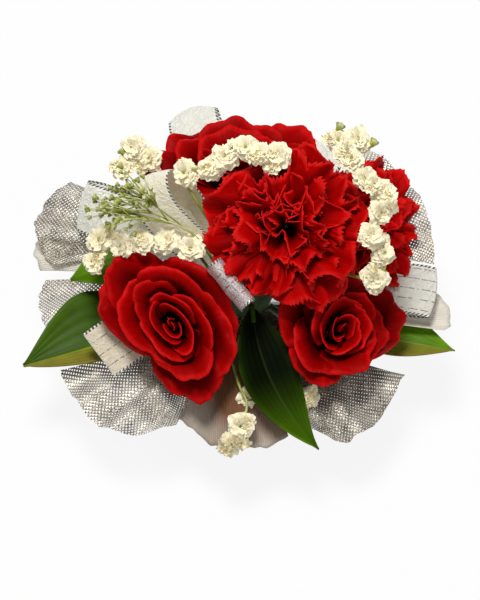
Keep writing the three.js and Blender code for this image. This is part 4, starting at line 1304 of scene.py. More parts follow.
@dataclass
class Carnation(Flower):
    """A miniature carnation: ruffled fans of petal with saw-toothed margins.

    Attributes:
        claw: Half the width of a petal's foot.
        length: Length of the innermost and of the outermost petal; each later pair is for those two.
        lean: Angle of a petal's foot from the flower's axis, in degrees.
        tip: Angle of its margin.
    """

    petals: int = 34
    columns: int = 45
    rows: int = 15
    tooth: float = 1.3
    petal_thickness: float = 0.25
    calyx_length: float = 9.0
    claw: float = 0.9
    length: Pair = (15.0, 22.0)
    lean: Pair = (4.0, 46.0)
    tip: Pair = (16.0, 96.0)
    half_width: Pair = (6.5, 12.5)
    root_radius: Pair = (0.3, 1.6)
    root_height: Pair = (1.2, 0.2)

    def petal(self, number: int, draw: random.Random) -> Surface:
        """Return one petal on the flower's own axis.

        Args:
            number: Place of the petal, counted from the heart.
            draw: Source of its random draws.

        Returns:
            The petal as a sheet.
        """
        share = number / (self.petals - 1)
        length = between(*self.length, share) * draw.uniform(0.86, 1.08)
        lean = math.radians(between(*self.lean, share ** 0.8) + draw.uniform(-6, 6))
        tip = math.radians(between(*self.tip, share ** 0.8) + draw.uniform(-14, 12))
        turn = number * GOLDEN_TURN + draw.uniform(-0.3, 0.3)
        half = between(*self.half_width, share ** 0.6) * draw.uniform(0.9, 1.12)
        waves = draw.uniform(1.0, 2.0)
        phase = draw.uniform(0, 2 * math.pi)
        deep = draw.uniform(2.4, 3.8) * between(1.0, 1.4, share)
        s, t = patch(self.columns, self.rows)
        side = 1.0 - 0.24 * np.abs(s) ** 2.2
        step = length * side / (self.rows - 1)
        slope = lean + (tip - lean) * smooth(0.15, 1.0, t)
        radius = between(*self.root_radius, share) + np.cumsum(step * np.sin(slope), axis=0)
        rise = between(*self.root_height, share) + np.cumsum(step * np.cos(slope), axis=0)
        wide = self.claw + (half - self.claw) * smooth(0.1, 1.05, t) ** 0.8
        ruffle = deep * t ** 1.8 * np.sin(math.pi * waves * s + phase)
        ruffle += 1.3 * t ** 3.0 * np.sin(math.pi * waves * 2.9 * s + 2 * phase)
        notched = 1.8 * t ** 3.0 * np.sin(math.pi * waves * 1.7 * s + 3 * phase)
        teeth = np.array([draw.uniform(0.1, 1.0) * (column % 2) for column in range(self.columns)])
        jag = self.tooth * teeth * smooth(0.9, 1.0, t)
        radius = radius + ruffle * np.cos(slope) + (jag + notched) * np.sin(slope)
        rise = rise - ruffle * np.sin(slope) + (jag + notched) * np.cos(slope)
        points = round_axis(radius, s * wide * (1 - 0.12 * t), rise, turn)
        ripple = wobble(points, 0.2, self.seed + number * 2.3) * smooth(0.3, 1.0, t)
        points += ripple[..., None] * np.array([1.0, 1.0, 1.5])
        uv = np.stack([(s + 1) / 2, t], axis=-1)
        return Surface.grid(points, uv, np.full(s.shape, draw.random() * 4))

    def to_size(self, head: Surface) -> Surface:
        """Bring the head to the flower's diameter and depth, with stray margins drawn in.

        Args:
            head: The petals as one surface.

        Returns:
            The same surface.
        """
        radii = np.hypot(head.points[:, 0], head.points[:, 1])
        reach = np.quantile(radii, 0.97)
        drawn = np.where(radii > reach, reach + 0.5 * (radii - reach), radii) / np.maximum(radii, 0.01)
        angle = np.arctan2(head.points[:, 1], head.points[:, 0])
        lobed = 1.0 + 0.06 * np.cos(3 * (angle - 1.07)) + 0.035 * np.cos(5 * angle + self.seed)
        head.points[:, :2] *= (drawn * lobed * self.diameter / 2 / reach)[:, None]
        head.points[:, 2] *= self.depth / head.points[:, 2].max()
        return head

    def build(self, plane: FacePlane, finishes: Finishes) -> None:
        """Make the head, the calyx and the stem.

        Args:
            plane: The corsage's face.
            finishes: The materials.
        """
        draw = random.Random(self.seed)
        sheets = [self.petal(i, draw) for i in range(self.petals)]
        head = self.to_size(Surface.joined(sheets)).placed(self.foot(plane), self.axis(plane))
        settle(make_piece(f"{self.name}_ruffled_head", head, finishes.carnation, self.petal_thickness),
               "carnation_petal", f"{self.name}_petals")
        foot = -self.calyx_length
        profile = [(0, foot), (1.8, foot), (3.2, -8.4), (4.2, -6.5), (4.8, -3.5), (5.0, -1.2),
                   (4.6, 0.4), (0, 0.4)]
        calyx = lathe(profile, 25)
        top = calyx.points[:, 2] > 0.2
        angle = np.arctan2(calyx.points[:, 1], calyx.points[:, 0])
        calyx.points[top, 2] += 0.8 * np.cos(SEPALS * angle[top])
        cup = calyx.placed(self.foot(plane), self.axis(plane))
        settle(make_piece(f"{self.name}_green_cup", cup, finishes.calyx), "calyx", f"{self.name}_calyx")
        self.stem(plane, self.calyx_length, finishes.tape)


# Foliage
@dataclass
class HubPiece:
    """What every leaf, loop, fan and sprig has.

    Attributes:
        name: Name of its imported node.
        leave: The way it leaves the hub.
    """

    name: str
    leave: Triple


@dataclass
class Leaf(HubPiece):
    """A ruscus leaf on a short stalk, folded along its midrib.

    Attributes:
        stalk: Place on the stalk, as across, up and height.
        start: Foot of the blade.
        via: Point that the blade bends towards.
        halves: Widths of the half to the left of the way to the tip, seen from above, and of the other.
        fold: Rise of each half beside the midrib, as a share of its width.
        tones: Shading value of the two halves, from 0 for dark to 1 for pale; the pale is partly the paler
            underside and partly a painted reflection.
        shade: Part of the blade, from its foot, that is darkened as painted shade.
    """

    stalk: Triple
    start: Triple
    via: Triple
    tip: Triple
    halves: Pair
    fold: float
    tones: Pair
    shade: float = 0.3
    columns: int = 25
    rows: int = 49
    thickness: float = 0.45
    stalk_radius: float = 0.85

    def build(self, plane: FacePlane, finishes: Finishes) -> None:
        """Make the blade and its stalk.

        Args:
            plane: The corsage's face.
            finishes: The materials.
        """
        start, via, tip = (plane.at_height(*p) for p in (self.start, self.via, self.tip))
        s, t = patch(self.columns, self.rows)
        middle = bend(start, via, tip, t[..., None])
        across, lift = carried(start, via, tip, t[..., None], unit(np.cross(tip - start, UP)))
        half = np.where(s < 0, *self.halves) * np.maximum(0.02, np.sin(math.pi * t ** 0.8))
        rise = self.fold * np.abs(s) ** 1.2 * half + 0.5 * np.sin(7 * t + 2 * s) * np.abs(s) * t
        points = middle + across * (s * half)[..., None] + lift * rise[..., None]
        uv = np.stack([(s + 1) / 2, t], axis=-1)
        # Painted shade darkens the blade towards its foot, and the margins are a little lighter as painted
        # highlight.
        lit = smooth(self.shade - 0.3, self.shade + 0.2, t)
        tone = np.where(s < 0, *self.tones) * lit + 0.15 * np.abs(s) ** 6
        blade = Surface.grid(points, uv, np.clip(tone, 0, 1))
        inside = bend(start, via, tip, 0.1)
        way = spline([plane.port(self.leave), plane.at_height(*self.stalk), start, inside], 8)
        stalk = tube(way, np.full(len(way), self.stalk_radius), 10)
        stalk.tone[:] = 0.4
        leaf = make_piece(f"{self.name}_blade", blade, finishes.leaf, self.thickness)
        settle(leaf, "leaf", self.name)
        settle(make_piece(f"{self.name}_stalk", stalk, finishes.leaf), "leaf")


# Ribbon and net
class Cloth(Enum):
    """What a fan is cut from."""

    NET = "silver_net"
    SATIN = "satin"


@dataclass
class RibbonLoop(HubPiece):
    """A loop of sheer ribbon that leaves the hub, turns at its far end and comes back.

    Attributes:
        via: Point that it bends towards, in the frame's millimetres.
        end: Its far end.
        wide: The way its width runs, on the face.
        bulge: How far the two runs stand apart.
        look: Which of the ribbon's looks it has.
        twist: How far its width is turned about its length, in degrees.
        bow: How far its edges fall short of its middle at the far end, as a share of its length.
        glint: How brightly its far fold catches the light.
        inside: How much darker the run behind is, as painted shade inside the loop.
        pinch: Width that it is gathered to at the hub.
        glint_place: Place of the bright fold, as a share of the ribbon's length.
        turned_under: Where the painted shade on the run behind begins and where it is darkest.
    """

    via: np.ndarray
    end: np.ndarray
    wide: Triple
    bulge: float
    look: Ribbon = Ribbon.WHITE
    twist: float = 0.0
    bow: float = 0.02
    glint: float = 0.4
    inside: float = 0.0
    width: float = 16.0
    pinch: float = 3.2
    columns: int = 17
    rows: int = 81
    glint_place: float = 0.485
    glint_width: float = 0.022
    turned_under: Pair = (0.53, 0.62)

    def build(self, plane: FacePlane, finishes: Finishes) -> None:
        """Make the loop as one sheet.

        Args:
            plane: The corsage's face.
            finishes: The materials.
        """
        port = plane.port(self.leave)
        s, t = patch(self.columns, self.rows)
        turn = 2 * math.pi * t
        q = ((1 - np.cos(turn)) / 2 * (1 - self.bow * s ** 2))[..., None]
        across, over = carried(port, self.via, self.end, q, plane.direction(*self.wide))
        turned = math.radians(self.twist) * q
        across, over = (across * np.cos(turned) + over * np.sin(turned),
                        over * np.cos(turned) - across * np.sin(turned))
        puff = self.bulge * np.sin(turn) * q[..., 0] + 0.8 * np.cos(math.pi * t)
        opened = np.minimum(1.0, np.abs(np.sin(math.pi * t)) * 1.5) ** 1.5
        half = (self.pinch + (self.width - self.pinch) * opened) / 2
        points = bend(port, self.via, self.end, q)
        points = points + over * puff[..., None] + across * (s * half)[..., None]
        crease = 0.5 * np.cos(2.2 * math.pi * s) * (1 - opened) + 0.35 * wobble(points, 0.25, self.bulge)
        points = points + over * crease[..., None]
        run = run_length(points)
        uv = np.stack([s * self.width / 2, run], axis=-1)
        # The far fold gets a painted highlight and the run behind a painted shade.
        tone = self.glint * np.exp(-((t - self.glint_place) / self.glint_width) ** 2)
        tone = tone - self.inside * smooth(*self.turned_under, t)
        ribbon = make_piece(f"{self.name}_ribbon", Surface.grid(points, uv, tone), finishes.ribbon[self.look])
        settle(ribbon, "sheer_ribbon", self.name)


@dataclass
class ClothFan(HubPiece):
    """A gathered fan of net or satin, pinched at the hub and cut along its far edge.

    Attributes:
        via: Point that it bends towards, as across, up and height.
        edge: The first, middle and last corner of its far edge.
        density_and_shade: Shading value at its root and at its far edge, from 0 to 1, with random patches: on
            net it sets how closely the threads lie and darkens them as painted shade; on satin it mixes in
            the painted shade colour.
        flare: Half its width at the via point, as a share of its far edge.
        ragged: How far the cut edge strays.
        least_share: Least area of its flat cut as a share of width times length; not used.
    """

    via: Triple
    edge: tuple[Triple, Triple, Triple]
    pleats: int
    cloth: Cloth
    density_and_shade: Pair = (0.6, 0.1)
    pinch: float = 3.2
    pleat: float = 1.2
    flare: float = 0.2
    ragged: float = 1.1
    points: int = 41
    satin_thickness: float = 0.2
    least_share: float = 0.31

    def build(self, plane: FacePlane, finishes: Finishes) -> None:
        """Make the fan as one sheet.

        Args:
            plane: The corsage's face.
            finishes: The materials.
        """
        port = plane.port(self.leave)
        via = plane.at_height(*self.via)
        first, middle, last = (plane.at_height(*corner) for corner in self.edge)
        s, t = patch(self.points, self.points)
        centre = self.points // 2
        spread = unit(last - first)
        reach = np.linalg.norm(last - first)
        far = bend(first, middle, last, ((s + 1) / 2)[..., None])
        cut = wobble(np.stack([s * reach / 2, 0 * s, 0 * s], axis=-1), 0.4, self.pleats + 9.0)
        far = far + unit((first + last) / 2 - port) * (self.ragged * cut)[..., None]
        root = port + spread * (s * self.pinch / 2)[..., None]
        control = via + spread * (s * reach * self.flare)[..., None]
        wave = self.pleat * np.sin(math.pi * self.pleats * s) * t
        points = bend(root, control, far, t[..., None]) + UP * wave[..., None]
        points += UP * (0.7 * wobble(points, 0.12, self.pleats) * t)[..., None]
        along, across = run_length(points), run_length(points, 1)
        uv = np.stack([across - across[:, centre:centre + 1], along], axis=-1)
        # Random patches in the shading value, which sets the net's thread density and the painted shade.
        patches = 0.4 * wobble(points, 0.09, self.pleats + 5.0)
        density_and_shade = np.clip(between(*self.density_and_shade, smooth(0.5, 1.0, t)) + patches, 0.0, 1.0)
        net = self.cloth is Cloth.NET
        fan = make_piece(
            f"{self.name}_fan", Surface.grid(points, uv, density_and_shade),
            finishes.net if net else finishes.satin, 0.0 if net else self.satin_thickness)
        settle(fan, self.cloth.value, self.name)

    @staticmethod
    def cells(points: np.ndarray) -> np.ndarray:
        """Return the area of each cell of a grid of points."""
        right, down = points[:-1, 1:] - points[:-1, :-1], points[1:, :-1] - points[:-1, :-1]
        return np.linalg.norm(np.cross(right, down), axis=-1)


# Filler
class FloretScatter:
    """Geometry Nodes tree that stands one of a few florets on every point of a mesh.

    Attributes:
        KINDS: Number of florets to pick from.
        RINGS: Number of petals, lean in degrees and length for each ring of petals, the outer one first.
        CUP: Profile of a floret's green cup.
    """

    KINDS = 3
    RINGS = ((9, 84, 1.0), (8, 60, 0.97), (7, 38, 0.9), (6, 18, 0.82), (4, 2, 0.7))
    CUP = ((0, -0.75), (0.12, -0.72), (0.24, -0.4), (0.26, -0.1), (0, 0.05))

    def __init__(self, finish: Material) -> None:
        """Build the florets and the tree.

        Args:
            finish: Material of the florets.
        """
        self.kinds = [self.floret(number, finish) for number in range(self.KINDS)]
        self.tree = self.build_tree(finish)

    def floret(self, number: int, finish: Material) -> Object:
        """Make one floret of crinkled petals, one millimetre in radius, opening along +Z.

        Args:
            number: Number of its kind.
            finish: Its material.

        Returns:
            The floret.
        """
        draw = random.Random(40 + number)
        parts = []
        s, t = patch(6, 5)
        for ring, (count, lean, length) in enumerate(self.RINGS):
            for i in range(count):
                angle = (i + 0.5 * ring) * 2 * math.pi / count + draw.uniform(-0.25, 0.25)
                slope = math.radians(lean + draw.uniform(-14, 14)) + 0.7 * (t - 0.4)
                notch = 0.05 * np.cos(3 * math.pi * s) * smooth(0.7, 1.0, t)
                reach = length * draw.uniform(0.78, 1.08) * (1 - 0.3 * np.abs(s) ** 2.4 - notch)
                radius = 0.08 + reach * t * np.sin(slope)
                rise = -0.3 + reach * t * np.cos(slope) + 0.16 * np.sin(5 * s + 6 * draw.random()) * t
                points = round_axis(radius, s * (0.07 + 0.36 * t ** 0.7), rise, angle)
                parts.append(Surface.grid(points, np.stack([s, t], axis=-1), 0.45 + 0.55 * t))
        cup = lathe(self.CUP, 7)
        cup.tone[:] = 0.05
        parts.append(cup)
        return make_piece(f"floret_kind_{number}", Surface.joined(parts), finish)

    def build_tree(self, finish: Material) -> NodeTree:
        """Build the tree, with inputs for the florets, their size and their seed.

        Args:
            finish: Material of the florets.

        Returns:
            The tree.
        """
        tree = bpy.data.node_groups.new("floret_scatter", "GeometryNodeTree")
        florets = [f"Floret {number}" for number in range(self.KINDS)]
        for name, kind in (("Points", "Geometry"), *((floret, "Object") for floret in florets),
                           ("Radius", "Float"), ("Seed", "Int")):
            tree.interface.new_socket(name=name, in_out="INPUT", socket_type=f"NodeSocket{kind}")
        tree.interface.new_socket(name="Florets", in_out="OUTPUT", socket_type="NodeSocketGeometry")
        canvas = Canvas(tree)
        given = canvas.node("NodeGroupInput").outputs
        seed = given["Seed"]
        kinds = canvas.node("GeometryNodeJoinGeometry")
        for floret in florets:
            one = canvas.fed("GeometryNodeObjectInfo", {"Object": given[floret], "As Instance": True})
            canvas.put(kinds.inputs[0], one["Geometry"])
        named = "GeometryNodeInputNamedAttribute"
        facing = canvas.fed(named, {"Name": "facing"}, data_type="FLOAT_VECTOR")["Attribute"]
        size = canvas.fed(named, {"Name": "size"}, data_type="FLOAT")["Attribute"]
        aim = canvas.fed("FunctionNodeAlignRotationToVector", {"Vector": facing}, axis="Z")
        random_value = "FunctionNodeRandomValue"
        spin = canvas.fed(random_value, {3: 2 * math.pi, "Seed": seed}, data_type="FLOAT")
        pick = canvas.fed(random_value, {4: 0, 5: self.KINDS - 1, "Seed": seed}, data_type="INT")
        roll = canvas.fed("FunctionNodeAxisAngleToRotation", {"Angle": spin[1]})
        turned = canvas.fed(
            "FunctionNodeRotateRotation", {"Rotation": aim[0], "Rotate By": roll[0]}, rotation_space="LOCAL")
        stood = canvas.fed("GeometryNodeInstanceOnPoints", {
            "Points": given["Points"], "Instance": kinds.outputs[0], "Pick Instance": True,
            "Instance Index": pick[2], "Rotation": turned[0],
            "Scale": canvas.math("MULTIPLY", given["Radius"], size)})
        real = canvas.fed("GeometryNodeRealizeInstances", {0: stood[0]})
        dressed = canvas.fed("GeometryNodeSetMaterial", {"Geometry": real[0], "Material": finish})
        canvas.put(canvas.node("NodeGroupOutput").inputs[0], dressed[0])
        return tree

    def stand(
        self, name: str, places: np.ndarray, facing: np.ndarray, sizes: np.ndarray, radius: float, seed: int,
    ) -> Object:
        """Return one piece with a floret at each place.

        Args:
            name: Name of the piece.
            places: Places in millimetres.
            facing: The way each floret opens.
            sizes: Size of each floret beside the others.
            radius: Radius of a floret of size one, in millimetres.
            seed: Seed of the tree's random draws.

        Returns:
            The florets as a plain mesh.
        """
        mesh = bpy.data.meshes.new(name)
        mesh.from_pydata((places * MM).tolist(), [], [])
        aim = mesh.attributes.new("facing", "FLOAT_VECTOR", "POINT")
        aim.data.foreach_set("vector", facing.astype(np.float32).ravel())
        size = mesh.attributes.new("size", "FLOAT", "POINT")
        size.data.foreach_set("value", sizes.astype(np.float32))
        piece = add_object(name, mesh)
        scatter = piece.modifiers.new("florets", "NODES")
        scatter.node_group = self.tree
        values = {"Radius": radius, "Seed": seed}
        values.update({f"Floret {i}": kind for i, kind in enumerate(self.kinds)})
        for item in self.tree.interface.items_tree:
            if item.in_out == "INPUT" and item.name in values:
                scatter[item.identifier] = values[item.name]
        return plain_mesh(piece)

    def clear(self) -> None:
        """Remove the patterns that the florets were copied from."""
        for kind in self.kinds:
            bpy.data.objects.remove(kind)


def green_bud(centre: np.ndarray, axis: np.ndarray, size: float) -> Surface:
    """Return one bud with a small parted crown.

    Args:
        centre: Middle of the bud.
        axis: The way it points.
        size: Radius of the bud.

    Returns:
        The closed surface.
    """
    profile = [(0, -1.3), (0.3, -1.25), (0.6, -0.8), (0.75, -0.2), (0.95, 0.5), (0.8, 0.95), (0.3, 0.7),
               (0, 0.6)]
    shape = lathe([(r * size, z * size) for r, z in profile], 10)
    angle = np.arctan2(shape.points[:, 1], shape.points[:, 0])
    lobes = 1.0 + 0.35 * np.cos(5 * angle) * (shape.points[:, 2] > 0.2 * size)
    shape.points[:, :2] *= lobes[:, None]
    return shape.placed(centre, axis)


@dataclass
class Sprig(HubPiece):
    """A filler sprig: a thin stem from the hub with a floret at each later point of its way.

    Attributes:
        bare: Number of points, the hub's included, before the first floret.
        way: Points on the face: across, up and out.
        aside: Places of small florets on side twigs.
        buds: Places of closed green buds on side twigs.
        beside: Number of smaller florets beside each main one.
        stray: How far those stand from it across and up the face.
        aside_stray: How far the florets of a side twig stand from its end.
        aside_sizes: Their sizes beside a main floret's.
    """

    bare: int
    way: tuple[Triple, ...]
    seed: int
    aside: tuple[Triple, ...] = ()
    buds: tuple[Triple, ...] = ()
    stem_radius: float = 0.5
    twig_radius: float = 0.3
    floret_radius: float = 4.1
    bud_radius: float = 1.3
    beside: int = 2
    stray: float = 2.8
    aside_stray: float = 2.4
    aside_sizes: Triple = (0.8, 0.6, 0.5)

    def build(self, plane: FacePlane, finishes: Finishes, scatter: FloretScatter) -> None:
        """Make the stem and the florets.

        Args:
            plane: The corsage's face.
            finishes: The materials.
            scatter: The tree that stands the florets.
        """
        points = [plane.port(self.leave), *(plane.seen(*p) for p in self.way)]
        way = spline(points, 8)
        out = plane.direction(0, 0, 1)
        parts = [tube(way, np.linspace(self.stem_radius, 0.6 * self.stem_radius, len(way)), 8)]
        extra = [plane.seen(*p) for p in self.aside]
        closed = [plane.seen(*p) for p in self.buds]
        for end in extra + closed:
            early = 0.4 * np.arange(len(way))[::-1] / len(way)
            fork = way[np.argmin(np.linalg.norm(way - end, axis=1) + early)]
            sag = 0.25 * max(0.0, np.linalg.norm(end - fork) - 6.0)
            twig = spline([fork, (fork + end) / 2 - out * sag, end], 4)
            parts.append(tube(twig, np.full(len(twig), self.twig_radius), 6))
        parts += [green_bud(end, unit(end - UP * plane.hub_height), self.bud_radius) for end in closed]
        settle(make_piece(f"{self.name}_stem", Surface.joined(parts), finishes.bud), "green_bud")
        draw = random.Random(self.seed)
        rows: list[tuple[np.ndarray, np.ndarray, float]] = []
        for centre in points[self.bare:]:
            away = unit(centre - UP * plane.hub_height)
            rows.append((unit(0.6 * away + out + jitter(draw, 0.4)), centre + out, draw.uniform(0.85, 1.1)))
            for _ in range(self.beside):
                facing = unit(away + 0.4 * out + jitter(draw, 0.8))
                step = [draw.uniform(-self.stray, self.stray) for _ in range(2)]
                place = centre + plane.offset(*step, draw.uniform(-0.4, 1.2))
                rows.append((facing, place, draw.uniform(0.55, 0.8)))
        for centre in extra:
            for size in self.aside_sizes:
                facing = unit(out + jitter(draw, 0.8))
                step = [draw.uniform(-self.aside_stray, self.aside_stray) for _ in range(2)]
                rows.append((facing, centre + plane.offset(*step, 0.0), size))
        facings, places, sizes = (np.array(column) for column in zip(*rows))
        florets = scatter.stand(
            f"{self.name}_florets", places, facings, sizes, self.floret_radius, self.seed)
        settle(florets, "filler_flower", self.name)


@dataclass
class BudSpray(HubPiece):
    """A spray of small green buds, each on a stalk of its own.

    Attributes:
        way: Points of its stem on the face.
        buds: Places of the main buds on the face.
        twigs: Number of smaller buds round each main one.
        reach: How far those stand from it along each axis.
    """

    way: tuple[Triple, ...]
    buds: tuple[Triple, ...]
    seed: int
    bud_radius: float = 0.95
    twigs: int = 12
    reach: float = 4.8
    stalk_radius: float = 0.26
    twig_radius: float = 0.18

    def build(self, plane: FacePlane, finishes: Finishes) -> None:
        """Make the stem, the stalks and the buds as one piece.

        Args:
            plane: The corsage's face.
            finishes: The materials.
        """
        draw = random.Random(self.seed)
        way = spline([plane.port(self.leave), *(plane.point(*p) for p in self.way)], 12)
        parts = [tube(way, np.linspace(0.5, 0.34, len(way)), 8)]
        for number, place in enumerate(self.buds):
            centre = plane.point(*place)
            root = way[int((0.6 + 0.38 * number / len(self.buds)) * (len(way) - 1))]
            middle = (root + centre) / 2 + UP * 1.0
            stalk = spline([root, middle, centre], 6)
            parts.append(tube(stalk, np.full(len(stalk), self.stalk_radius), 6))
            parts.append(green_bud(centre, unit(centre - root), self.bud_radius))
            for _ in range(self.twigs):
                end = centre + jitter(draw, self.reach)
                fork = stalk[draw.randrange(5, len(stalk) - 3)]
                twig = spline([fork, (fork + end) / 2 + UP * 0.4, end], 4)
                parts.append(tube(twig, np.full(len(twig), self.twig_radius), 5))
                parts.append(green_bud(end, unit(end - fork), self.bud_radius * draw.uniform(0.55, 0.95)))
        settle(make_piece(f"{self.name}_spray", Surface.joined(parts), finishes.bud), "green_bud", self.name)


# Wristlet
@dataclass
class Wristlet:
    """The elastic band: one closed woven loop.

    Attributes:
        flat: Length of its flat runs.
        bend_radius: Outer radius of its bends.
        edge: Width of each rounded edge.
    """

    width: float = 25.0
    thickness: float = 1.2
    flat: float = 42.0
    bend_radius: float = 11.5
    rib_depth: float = 0.06
    edge: float = 0.5

    def build(self, finishes: Finishes) -> None:
        """Make the band in place of the imported elastic nodes.

        Args:
            finishes: The materials.
        """
        middle = self.bend_radius - self.thickness / 2
        turn = np.linspace(0.0, math.pi, 25)
        run = np.linspace(-self.flat / 2, self.flat / 2, 45)[1:-1]
        out, up = self.flat / 2 + middle * np.sin(turn), middle * np.cos(turn)
        level = np.full(len(run), middle)
        line = np.stack([np.concatenate([out, run[::-1], -out, run]),
                         self.bend_radius + np.concatenate([-up, level, up, -level])], axis=-1)
        ahead = np.roll(line, -1, axis=0) - np.roll(line, 1, axis=0)
        normal = units(np.stack([ahead[:, 1], -ahead[:, 0]], axis=-1))
        across, thick = self.section().T
        flat = line[:, None] + normal[:, None] * thick[None, :, None]
        points = np.stack([flat[..., 0], np.broadcast_to(across, flat.shape[:-1]), flat[..., 1]], axis=-1)
        uv = np.stack(np.broadcast_arrays(across[None, :], run_length(line)[:, None]), axis=-1)
        faces = []
        rows, columns = points.shape[:2]
        for r in range(rows):
            for c in range(columns):
                below, right_column = (r + 1) % rows, (c + 1) % columns
                faces.append((r * columns + c, below * columns + c,
                              below * columns + right_column, r * columns + right_column))
        band = Surface(points.reshape(-1, 3), faces, uv.reshape(-1, 2), np.zeros(rows * columns))
        piece = make_piece("elastic_band", band, finishes.elastic)
        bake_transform(piece)
        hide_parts("elastic_upper", "elastic_lower", "elastic_left", "elastic_right")
        LOG.info("%s: %d faces", piece.name, len(piece.data.polygons))

    def section(self) -> np.ndarray:
        """Draw the band's section, with rounded edges and shallow ribs.

        Returns:
            Points across and out.
        """
        half, thick = self.width / 2, self.thickness / 2
        across = np.linspace(-half + self.edge, half - self.edge, 49)
        rib = thick - self.rib_depth + self.rib_depth * np.abs(np.sin(math.pi * across / RIB_PITCH))
        edge = np.array([[half - 0.12, thick * 0.6], [half, 0.0], [half - 0.12, -thick * 0.6]])
        outer = np.stack([across, rib], axis=-1)
        inner = np.stack([across[::-1], -rib[::-1]], axis=-1)
        return np.vstack([outer, edge, inner, edge[::-1] * np.array([-1.0, 1.0])])


@dataclass
class StemBundle:
    """The taped bar that the clip holds, with the knob that every stem leaves.

    Attributes:
        bar_wrap: Rise of the tape in one turn along the bar, as knob_wrap is up the knob.
        lap: Step at each lap of the tape, as a share of the knob's radius.
    """

    bar_radius: float = 3.5
    bar_length: float = 28.0
    bar_wrap: float = 5.0
    neck_radius: float = 4.8
    neck_height: float = 4.5
    knob_wrap: float = 4.2
    lap: float = 0.035

    def build(self, plane: FacePlane, finishes: Finishes) -> None:
        """Make the bar and the knob as one piece.

        Args:
            plane: The corsage's face.
            finishes: The materials.
        """
        bar_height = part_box("stem_bundle")[0].z / MM + self.bar_radius
        way = np.stack([np.linspace(-self.bar_length / 2, self.bar_length / 2, 60),
                        np.zeros(60), np.full(60, bar_height)], axis=-1)
        bar = taped(way, self.bar_radius, self.bar_wrap, 28)
        hub, radius = plane.hub_height, plane.hub_radius
        arc = np.linspace(-math.acos(self.neck_radius / radius), math.pi / 2, 22)[:-1]
        profile = [(0.0, bar_height), (self.neck_radius, bar_height),
                   (self.neck_radius * 0.97, bar_height + self.neck_height)]
        profile += [(radius * math.cos(a), hub + radius * math.sin(a)) for a in arc]
        profile.append((0.0, hub + radius))
        knob = lathe(profile, 40)
        angle = np.arctan2(knob.points[:, 1], knob.points[:, 0]) / (2 * math.pi)
        lap = (knob.points[:, 2] / self.knob_wrap + angle) % 1.0
        knob.points[:, :2] *= (1.0 - self.lap + self.lap * lap)[:, None]
        bundle = make_piece("taped_stem_bundle", Surface.joined([bar, knob]), finishes.tape)
        settle(bundle, "tape", "stem_bundle")


@dataclass
class Clip:
    """The stamped clip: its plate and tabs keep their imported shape, and its rivets are turned anew."""

    rivet_radius: float = 2.3
    shank_radius: float = 1.2
    head_height: float = 0.7

    def build(self, nodes: dict[str, Object], finishes: Finishes) -> None:
        """Dress the plate and tabs, and make the two rivets.

        Args:
            nodes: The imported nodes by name.
            finishes: The materials.
        """
        for name in ("clip_plate", "clip_tab_back_left", "clip_tab_back_right",
                     "clip_tab_front_left", "clip_tab_front_right"):
            mesh = nodes[name].data
            mesh.materials.clear()
            mesh.materials.append(finishes.steel)
        for name in ("rivet_left", "rivet_right"):
            low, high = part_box(name)
            foot, top = low.z / MM, high.z / MM
            wide, high_foot, low_top = self.rivet_radius, foot + self.head_height, top - self.head_height
            dome = [(wide * math.cos(a), top - self.head_height * (1 - math.sin(a)))
                    for a in np.linspace(0.15, 1.4, 7)]
            profile = [(0, foot), (wide * 0.92, foot), (wide, foot + 0.15), (wide, high_foot),
                       (self.shank_radius, high_foot), (self.shank_radius, low_top), (wide, low_top),
                       *dome, (0, top)]
            turned = lathe(profile, 32)
            turned.points += np.array([(low.x + high.x) / 2 / MM, 0.0, 0.0])
            settle(make_piece(f"{name}_turned", turned, finishes.steel), "steel", name)


